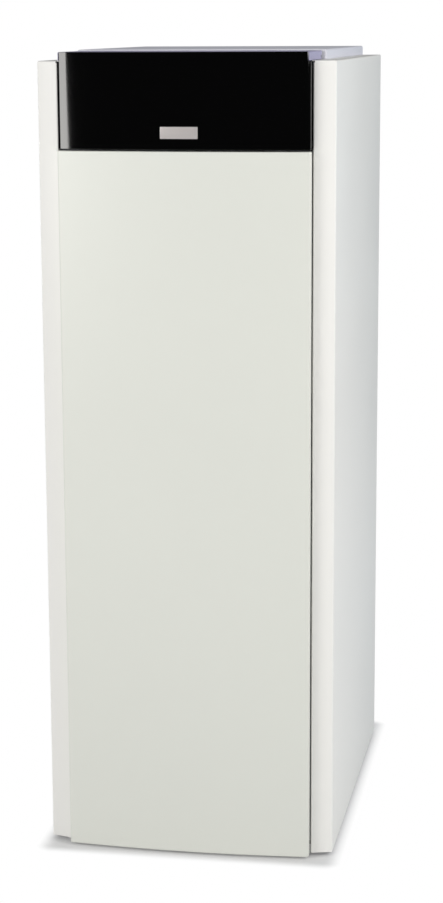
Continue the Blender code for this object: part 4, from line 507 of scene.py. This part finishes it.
# The folded sheet: a plan path with bent corners carried up. Over the long wall it bends inwards by a
# quarter turn, at right angles to the path, into the top flange.
def makeSidePanel(side, name, node):
    s = sidePanel
    plan = foldedPath([
        (s["facetIn"], s["facetFront"] + s["frontReturn"]), (s["facetIn"], s["facetFront"]),
        (s["outer"], s["front"]), (s["outer"], s["back"]), (s["outer"] - s["rearReturn"], s["back"]),
    ], s["bend"], s["steps"])
    first = s["steps"] + 1
    last = len(plan) - 2 - s["steps"]
    along = np.gradient(plan, axis=0)
    along /= np.linalg.norm(along, axis=1, keepdims=True)
    inward = np.stack([-along[:, 1], along[:, 0]], -1)
    levels = np.linspace(s["low"], s["high"] - s["relief"], s["wallRows"])
    wall = carried(plan, levels)
    turn = np.linspace(0, np.pi / 2, s["steps"] + 1)
    top = plan[first:last + 1]
    bent = top[None] + inward[None, first:last + 1] * (s["bend"] * (1 - np.cos(turn)))[:, None, None]
    height = s["high"] - s["bend"] + s["bend"] * np.sin(turn)
    fold = placed(bent, "z", np.broadcast_to(height[:, None], bent.shape[:2]))
    depth = np.clip(bent[-1, :, 1], s["facetFront"] + s["bend"], s["back"] - s["bend"])
    ends = [np.full(len(top), level) for level in (s["outer"] - s["flange"], s["high"])]
    inner = np.stack([ends[0], depth, ends[1]], -1)
    foldRows = np.concatenate([wall[-1:, first:last + 1], fold, inner[None]])
    points = np.concatenate([wall.reshape(-1, 3), foldRows.reshape(-1, 3)])
    faces = gridFaces(s["wallRows"], len(plan))
    faces += (np.array(gridFaces(len(foldRows), len(top))) + s["wallRows"] * len(plan)).tolist()
    points[:, 0] *= side
    if side < 0:
        faces = [face[::-1] for face in faces]
    piece = newPiece(name, points, faces, outward=False)
    addWall(piece, s["sheet"])
    softenEdges(piece, s["edge"], 1, s["edgeAngle"])
    standFor(piece, finish["caseWhite"], "casing", node)


lid = {
    "side": 0.2585, "front": -0.243, "back": 0.400, "edge": 0.0034, "corner": 0.005, "sheet": 0.0012,
    "steps": 6,
}


# A shallow pressed lid, open below: quarter-round edges between its top and its skirt.
def makeLid():
    low, high = (corner[2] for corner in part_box("top_cover"))
    turn = np.linspace(0, np.pi / 2, lid["steps"] + 1)
    inset = lid["edge"] * (1 - np.sin(turn))
    level = high - lid["edge"] * (1 - np.cos(turn))

    def ring(by, z, radius):
        return placed(roundedOutline(
            -lid["side"] + by, lid["side"] - by, lid["front"] + by, lid["back"] - by, radius
        ), "z", z)

    wall = lid["sheet"]
    rings = [ring(i, z, lid["corner"]) for i, z in zip(inset, level)]
    rings += [
        ring(0, low, lid["corner"]), ring(wall, low, lid["corner"] - wall),
        ring(wall, high - lid["edge"], lid["corner"] - wall),
        ring(lid["edge"], high - wall, lid["corner"] - wall),
    ]
    piece = skin("lidPanel", rings, smoothAngle=meshing["crispAngle"])
    standFor(piece, finish["lidShadeGrey"], "lid", "top_cover")


fascia = {
    "side": 0.2540, "front": -0.440, "back": -0.422, "low": 1.4625, "high": 1.6515, "corner": 0.0095,
    "wall": 0.003, "notchWidth": 0.0065, "notchPlay": 0.0005, "notchHeight": 0.0195, "steps": 14,
    "edge": 0.0006, "edgeSteps": 3, "edgeAngle": 50,
}


# The black front: a U path in plan carried up, with the quads of the two top corner notches left out.
def makeFascia():
    f = fascia
    plan = foldedPath([
        (-f["side"], f["back"]), (-f["side"], f["front"]), (f["side"], f["front"]), (f["side"], f["back"])
    ], f["corner"], f["steps"])
    levels = np.array([f["low"], f["high"] - f["notchHeight"], f["high"]])
    middle = (np.abs(plan[1:, 0]) + np.abs(plan[:-1, 0])) / 2
    keep = np.ones((len(levels) - 1, len(plan) - 1), bool)
    keep[-1] = middle < f["side"] - f["notchWidth"] + f["notchPlay"]
    faces = gridFaces(len(levels), len(plan), keep=keep)
    piece = newPiece("fasciaPanel", carried(plan, levels).reshape(-1, 3), faces, outward=False)
    bowFront(piece, f["front"] + f["wall"], f["back"])
    addWall(piece, f["wall"])
    softenEdges(piece, f["edge"], f["edgeSteps"], f["edgeAngle"])
    standFor(piece, finish["fasciaBlack"], "hood", "fascia")


badge = {
    "width": 0.075, "height": 0.0235, "x": -0.005, "z": 1.4955, "proud": 0.0008, "thickness": 0.0014,
    "corner": 0.0012, "edge": 0.0004, "steps": 4,
}


# A bare plate: a rounded outline whose front edge is a small quarter-round.
def makeBadge():
    turn = np.linspace(0, np.pi / 2, badge["steps"] + 1)
    inset = badge["edge"] * (1 - np.sin(turn))
    front = fascia["front"] - badge["proud"]
    level = front + badge["edge"] * (1 - np.cos(turn))
    halfWidth, halfHeight = badge["width"] / 2, badge["height"] / 2

    def ring(by, y):
        return placed(roundedOutline(
            badge["x"] - halfWidth + by, badge["x"] + halfWidth - by,
            badge["z"] - halfHeight + by, badge["z"] + halfHeight - by, badge["corner"],
        ), "y", y)

    rings = [ring(i, y) for i, y in zip(inset, level)] + [ring(0, front + badge["thickness"])]
    piece = skin("badgeBare", rings)
    bowFront(piece, front + badge["thickness"], 0)
    standFor(piece, finish["badgeSilver"], "hood", "badge_plate")


makeDoor()
makeSidePanel(1, "sidePanelRight", "side_panel_right")
makeSidePanel(-1, "sidePanelLeft", "side_panel_left")
makeLid()
makeFascia()
makeBadge()
print("casing made")


# Console details

# Thin bars standing off a plane that faces the front: each is a quad in (x, z), given depth along y.
def bars(name, quads, front, back):
    quads = np.asarray(quads, float)
    points = np.stack([placed(quads, "y", front), placed(quads, "y", back)], 1)
    block = np.array([[0, 1, 2, 3], [7, 6, 5, 4], [0, 4, 5, 1], [1, 5, 6, 2], [2, 6, 7, 3], [3, 7, 4, 0]])
    faces = (np.arange(len(quads))[:, None, None] * 8 + block).reshape(-1, 4)
    return newPiece(name, points.reshape(-1, 3), faces.tolist())


# Marks round a centre, each a rectangle turned to its own angle, counted clockwise from the top in degrees.
def roundMarks(centre, inner, outer, width, angles):
    turn = np.radians(np.asarray(angles, float))
    out = np.stack([np.sin(turn), np.cos(turn)], -1)
    across = np.stack([out[:, 1], -out[:, 0]], -1) * width / 2
    corners = [out * inner - across, out * inner + across, out * outer + across, out * outer - across]
    return np.asarray(centre, float) + np.stack(corners, 1)


# Heads of screws and bolts, as one piece: a turned profile of radii and heights is copied to every place
# on a level that faces the front (-1) or the back (1).
def heads(name, places, level, profile, sides, facing=-1):
    profile = np.asarray(profile, float)
    angle = np.linspace(0, 2 * np.pi, sides, endpoint=False) + np.pi / sides
    circle = np.stack([np.cos(angle), np.sin(angle)], -1)
    rings = profile[:, None, :1] * circle[None]
    centres = np.asarray(places, float)[:, None, None]
    heights = np.broadcast_to(profile[None, :, 1:2], (len(places), len(profile), sides))
    points = placed(centres + rings[None], "y", level + facing * heights)
    count = len(profile) * sides
    faces = []
    for start in range(0, len(places) * count, count):
        faces += (np.array(gridFaces(len(profile), sides, wrap=True)) + start).tolist()
        faces.append(list(range(start, start + sides)))
        faces.append(list(range(start + count - sides, start + count)))
    return newPiece(name, points.reshape(-1, 3), faces, meshing["crispAngle"])


console = {
    "panelFront": -0.4003, "height": 1.5473, "knobs": {"boiler_dial": 0.0244, "water_dial": 0.09516},
    "knobFront": -0.4156, "sweep": 135, "marks": 11, "scaleInner": 0.0245, "scaleOuter": 0.0280,
    "scaleWidth": 0.0009, "pointerInner": 0.0035, "pointerOuter": 0.0138, "pointerWidth": 0.0016,
    "print": 0.00015, "sunk": 0.0002, "screwSides": 24,
    "screwPlaces": [(-0.235, 1.4685), (0.235, 1.4685), (-0.235, 1.6100), (0.235, 1.6100)],
    "screw": [(0.0032, -0.0002), (0.0032, 0.0006), (0.0026, 0.0013), (0.0014, 0.0017)],
    "screen": (-0.0903, 0.0880, 0.0290), "screenCorner": 0.0015, "screenSteps": 4, "glassFront": -0.4046,
}


# White scales printed round the knobs, a white line on each knob, a screen in the display and four screws.
def makeConsoleDetails():
    c = console
    angles = np.linspace(-c["sweep"], c["sweep"], c["marks"])
    scale = (c["scaleInner"], c["scaleOuter"], c["scaleWidth"], angles)
    quads = [roundMarks((x, c["height"]), *scale) for x in c["knobs"].values()]
    panel = (c["panelFront"] - c["print"], c["panelFront"] + c["sunk"])
    standFor(bars("knobScales", np.concatenate(quads), *panel), finish["markWhite"], "casing")
    pointer = (c["pointerInner"], c["pointerOuter"], c["pointerWidth"], [-c["sweep"]])
    knob = (c["knobFront"] - c["print"], c["knobFront"] + c["sunk"])
    for body, x in c["knobs"].items():
        line = roundMarks((x, c["height"]), *pointer)
        standFor(bars(body + "Line", line, *knob), finish["markWhite"], body)
    x, width, height = c["screen"]
    outline = roundedOutline(
        x - width / 2, x + width / 2, c["height"] - height / 2, c["height"] + height / 2,
        c["screenCorner"], c["screenSteps"],
    )
    levels = (c["glassFront"] - c["print"], c["glassFront"] + c["sunk"])
    screen = skin("displayScreen", [placed(outline, "y", level) for level in levels])
    standFor(screen, finish["screenGreen"], "casing")
    screws = heads("consoleScrews", c["screwPlaces"], c["panelFront"], c["screw"], c["screwSides"])
    standFor(screws, finish["boltSteel"], "casing")


gauge = {
    "centre": (0.18056, 1.5473), "radius": 0.028, "rim": 0.003, "rimRound": 0.0004, "lip": 0.001,
    "back": -0.4006, "front": -0.4096, "around": 72, "face": -0.4046, "faceRadius": 0.0248,
    "faceThickness": 0.0005, "bore": 0.0015, "boreEnd": -0.4031, "overlap": 0.0001, "print": 0.00012,
    "sweep": 130, "markOuter": 0.0236, "shortMarks": 27, "shortInner": 0.0208, "shortWidth": 0.0004,
    "longMarks": 6, "longInner": 0.0192, "longWidth": 0.0008,
}


# A dark case with a rim, a white face with a bore for the needle's axle, and marks over the needle's sweep.
def makeGauge():
    g = gauge
    inner = g["radius"] - g["rim"]
    floor = g["face"] + g["faceThickness"]
    centre = (g["centre"][0], 0, g["centre"][1])
    case = turned("gaugeCase", [
        (g["radius"], g["back"]), (g["radius"], g["front"] + g["rim"] / 2),
        (g["radius"] - g["rim"] / 4, g["front"] + g["rimRound"]), (g["radius"] - g["rim"] / 2, g["front"]),
        (inner, g["front"] + g["lip"]), (inner, floor), (g["bore"], floor), (g["bore"], g["boreEnd"]),
    ], "y", centre, g["around"])
    standFor(case, finish["knobBlack"], "casing", "gauge_body")
    faceBack = floor - g["overlap"]
    face = turned("gaugeFace", [
        (g["bore"], faceBack), (g["faceRadius"], faceBack), (g["faceRadius"], g["face"]),
        (g["bore"], g["face"]),
    ], "y", centre, g["around"], joined=True)
    standFor(face, finish["gaugeWhite"], "casing")
    marks = [
        roundMarks(
            g["centre"], g[size + "Inner"], g["markOuter"], g[size + "Width"],
            np.linspace(-g["sweep"], g["sweep"], g[size + "Marks"]),
        ) for size in ("short", "long")
    ]
    marks = bars("gaugeMarks", np.concatenate(marks), g["face"] - g["print"], g["face"] + g["overlap"])
    standFor(marks, finish["knobBlack"], "casing")


# The boiler plate's bolts stand in its corners, the tank cover's in a circle.
boltRows = {
    "plateBolts": {
        "node": "boiler_front_plate", "corner": (0.153, 0.173), "radius": 0.0085, "height": 0.0058,
    },
    "coverBolts": {
        "node": "tank_cover", "round": 0.061, "count": 8, "level": -0.3403, "radius": 0.0062,
        "height": 0.0046,
    },
}
# Radii as shares of a bolt's radius, heights as shares of its height
boltShares = {
    "washer": [(1.25, 0.0), (1.25, 0.25)], "washerSides": 32,
    "head": [(1.0, 0.25), (1.0, 0.9), (0.88, 1.0)], "headSides": 6,
}


# For each row, all its washers as one piece and all its hexagon heads as another.
def makeBolts():
    for name, row in boltRows.items():
        low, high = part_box(row["node"])
        middle = np.array([(low[0] + high[0]) / 2, (low[2] + high[2]) / 2])
        if "corner" in row:
            places = middle + np.array([[1, 1], [-1, 1], [-1, -1], [1, -1]]) * row["corner"]
        else:
            turn = np.linspace(0, 2 * np.pi, row["count"], endpoint=False) + np.pi / row["count"]
            places = middle + row["round"] * np.stack([np.cos(turn), np.sin(turn)], -1)
        level = row.get("level", low[1])
        for ending, part in (("Washers", "washer"), ("", "head")):
            profile = np.array(boltShares[part]) * (row["radius"], row["height"])
            piece = heads(name + ending, places, level, profile, boltShares[part + "Sides"])
            standFor(piece, finish["boltSteel"], "casing")


rearScrews = {
    "side": 0.255, "levels": (0.05, 0.45, 0.85, 1.25, 1.60), "sides": 24,
    "profile": [(0.0048, -0.0002), (0.0048, 0.0008), (0.0040, 0.0020), (0.0022, 0.0027)],
}


# Two upright rows of round heads on the rear panel.
def makeRearScrews():
    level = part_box("rear_panel")[1][1]
    places = [(side * rearScrews["side"], z) for side in (-1, 1) for z in rearScrews["levels"]]
    screws = heads("rearScrews", places, level, rearScrews["profile"], rearScrews["sides"], 1)
    standFor(screws, finish["boltSteel"], "casing")


makeConsoleDetails()
makeGauge()
makeBolts()
makeRearScrews()
print("details made")


# Soft edges: the plain width and its steps, and the nodes that need another width
plainEdge = {"width": 0.0005, "steps": 2}
edgeWidths = {"cable_gland": 0.0003, "console_hood": 0.0, "fan_wheel": 0.0, "gauge_needle": 0.0001}
hoodBow = {"full": -0.4367, "still": -0.256}


# Any other node: a merged copy with its flat faces made whole, soft edges and its slot's finish.
def refine(node):
    source = frame["nodes"][node]
    shape = bmesh.new()
    shape.from_mesh(source.data)
    bmesh.ops.remove_doubles(shape, verts=shape.verts, dist=meshing["sourceMerge"])
    bmesh.ops.dissolve_limit(
        shape, angle_limit=math.radians(meshing["flatAngle"]), verts=shape.verts, edges=shape.edges,
        use_dissolve_boundaries=False,
    )
    mesh = bpy.data.meshes.new(node + "Piece")
    shape.to_mesh(mesh)
    shape.free()
    mesh.shade_smooth()
    mesh.set_sharp_from_angle(angle=math.radians(meshing["smoothAngle"]))
    piece = bpy.data.objects.new(node + "Piece", mesh)
    bpy.context.scene.collection.objects.link(piece)
    width = edgeWidths.get(node, plainEdge["width"])
    if width:
        softenEdges(piece, width, plainEdge["steps"], meshing["smoothAngle"])
    name = nodeFinish.get(node, slotFinish[nodeSlot[node]])
    return standFor(piece, finish[name], nodeBody[node], node)


bowFront(refine("console_hood"), hoodBow["full"], hoodBow["still"])
made = {name for piece in bpy.data.objects for name in piece.get("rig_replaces", [])}
for node in sorted(set(frame["nodes"]) - made):
    refine(node)
print("inner parts refined")


# Floor, light and background
studio = {
    "floorSize": 12.0, "floorColour": (0.62, 0.62, 0.62), "floorRoughness": 0.9, "floorSpecular": 0.1,
    # footprint, floorWhite, fadeFrom and fadeTo shape a band of painted shade round the base.
    "footprint": (0.286, 0.450, 0.0), "floorWhite": 0.16, "fadeFrom": 0.0, "fadeTo": 0.040,
    "ambient": 0.30, "ambientColour": (0.93, 0.97, 1.0), "mirrored": 0.03,
    "aim": (0, 0, 0.9),
    "lamps": {
        "keyLeft": {
            "place": (-2.8, -3.7, 2.1), "size": (1.9, 2.1), "roll": 6, "power": 110,
            "colour": (1, 0.985, 0.96),
        },
        "fillRight": {
            "place": (3.9, -2.0, 2.6), "size": (1.6, 2.2), "roll": 0, "power": 128,
            "colour": (1, 0.985, 0.97),
        },
        "backSoft": {
            "place": (-1.9, 4.2, 1.05), "size": (1.6, 0.9), "roll": 0, "power": 60, "colour": (1, 1, 1),
        },
        "topSoft": {
            "place": (0.0, 0.6, 4.6), "size": (3.0, 3.0), "roll": 0, "power": 22, "colour": (1, 1, 1),
        },
        "sideCool": {
            "place": (2.1, 1.9, 1.5), "size": (1.2, 1.2), "roll": 0, "power": 9, "colour": (0.55, 0.80, 1.0),
        },
    },
}


# Close to the object the camera sees the lit floor with its real shadow and, as the white share falls
# towards the footprint, a band of painted shade that hugs the base whatever the light; a short way off its
# footprint the camera sees it go white.
def makeFloor():
    points = placed(np.array([[-1, -1], [1, -1], [1, 1], [-1, 1]]) * studio["floorSize"], "z", 0)
    floor = newPiece("studioFloor", points, [[0, 1, 2, 3]], outward=False)
    material = bpy.data.materials.new("floorPale")
    material.use_nodes = True
    tree = material.node_tree
    shader = tree.nodes["Principled BSDF"]
    shader.inputs["Base Color"].default_value = (*studio["floorColour"], 1)
    shader.inputs["Roughness"].default_value = studio["floorRoughness"]
    shader.inputs["Specular IOR Level"].default_value = studio["floorSpecular"]
    white = addNode(tree, "ShaderNodeEmission", Strength=1.0)
    place = tree.nodes.new("ShaderNodeTexCoord")
    mirrored = addNode(tree, "ShaderNodeVectorMath", {"operation": "ABSOLUTE"})
    beyond = addNode(tree, "ShaderNodeVectorMath", {"operation": "SUBTRACT"})
    beyond.inputs[1].default_value = studio["footprint"]
    outside = addNode(tree, "ShaderNodeVectorMath", {"operation": "MAXIMUM"})
    away = addNode(tree, "ShaderNodeVectorMath", {"operation": "LENGTH"})
    # Painted shade: the camera's white share is least at the footprint and rises over fadeTo, so the floor
    # darkens round the base beyond its real shadow.
    fade = addNode(
        tree, "ShaderNodeMapRange", {"interpolation_type": "SMOOTHSTEP"},
        From_Min=studio["fadeFrom"], From_Max=studio["fadeTo"], To_Min=studio["floorWhite"], To_Max=1.0,
    )
    rays = tree.nodes.new("ShaderNodeLightPath")
    share = addNode(tree, "ShaderNodeMath", {"operation": "MULTIPLY"})
    blend = tree.nodes.new("ShaderNodeMixShader")
    tree.links.new(place.outputs["Object"], mirrored.inputs[0])
    tree.links.new(mirrored.outputs["Vector"], beyond.inputs[0])
    tree.links.new(beyond.outputs["Vector"], outside.inputs[0])
    tree.links.new(outside.outputs["Vector"], away.inputs[0])
    tree.links.new(away.outputs["Value"], fade.inputs["Value"])
    tree.links.new(rays.outputs["Is Camera Ray"], share.inputs[0])
    tree.links.new(fade.outputs["Result"], share.inputs[1])
    tree.links.new(share.outputs["Value"], blend.inputs["Fac"])
    tree.links.new(shader.outputs["BSDF"], blend.inputs[1])
    tree.links.new(white.outputs["Emission"], blend.inputs[2])
    tree.links.new(blend.outputs["Shader"], tree.nodes["Material Output"].inputs["Surface"])
    floor.data.materials.append(material)


# Three skies: white for the camera, nearly dark for mirrored rays, soft light for the rest.
def makeWorld():
    world = bpy.data.worlds.new("studio")
    bpy.context.scene.world = world
    world.use_nodes = True
    tree = world.node_tree
    ambient = tree.nodes["Background"]
    ambient.inputs["Color"].default_value = (*studio["ambientColour"], 1)
    ambient.inputs["Strength"].default_value = studio["ambient"]
    dark = addNode(tree, "ShaderNodeBackground", Strength=studio["mirrored"], Color=(1, 1, 1, 1))
    white = addNode(tree, "ShaderNodeBackground", Strength=1.0, Color=(1, 1, 1, 1))
    rays = tree.nodes.new("ShaderNodeLightPath")
    glossy = tree.nodes.new("ShaderNodeMixShader")
    blend = tree.nodes.new("ShaderNodeMixShader")
    tree.links.new(rays.outputs["Is Glossy Ray"], glossy.inputs["Fac"])
    tree.links.new(ambient.outputs["Background"], glossy.inputs[1])
    tree.links.new(dark.outputs["Background"], glossy.inputs[2])
    tree.links.new(rays.outputs["Is Camera Ray"], blend.inputs["Fac"])
    tree.links.new(glossy.outputs["Shader"], blend.inputs[1])
    tree.links.new(white.outputs["Background"], blend.inputs[2])
    tree.links.new(blend.outputs["Shader"], tree.nodes["World Output"].inputs["Surface"])


# Area lamps, each turned towards the aim and rolled about the line to it.
def makeLamps():
    for name, lamp in studio["lamps"].items():
        data = bpy.data.lights.new(name, "AREA")
        data.shape = "RECTANGLE"
        data.size, data.size_y = lamp["size"]
        data.energy = lamp["power"]
        data.color = lamp["colour"]
        item = bpy.data.objects.new(name, data)
        bpy.context.scene.collection.objects.link(item)
        item.location = lamp["place"]
        aim = Vector(studio["aim"]) - Vector(lamp["place"])
        roll = Matrix.Rotation(math.radians(lamp["roll"]), 3, "Z")
        item.rotation_euler = (aim.to_track_quat("-Z", "Y").to_matrix() @ roll).to_euler()


makeFloor()
makeWorld()
makeLamps()
bpy.context.scene.view_settings.view_transform = "Standard"
print("studio made")
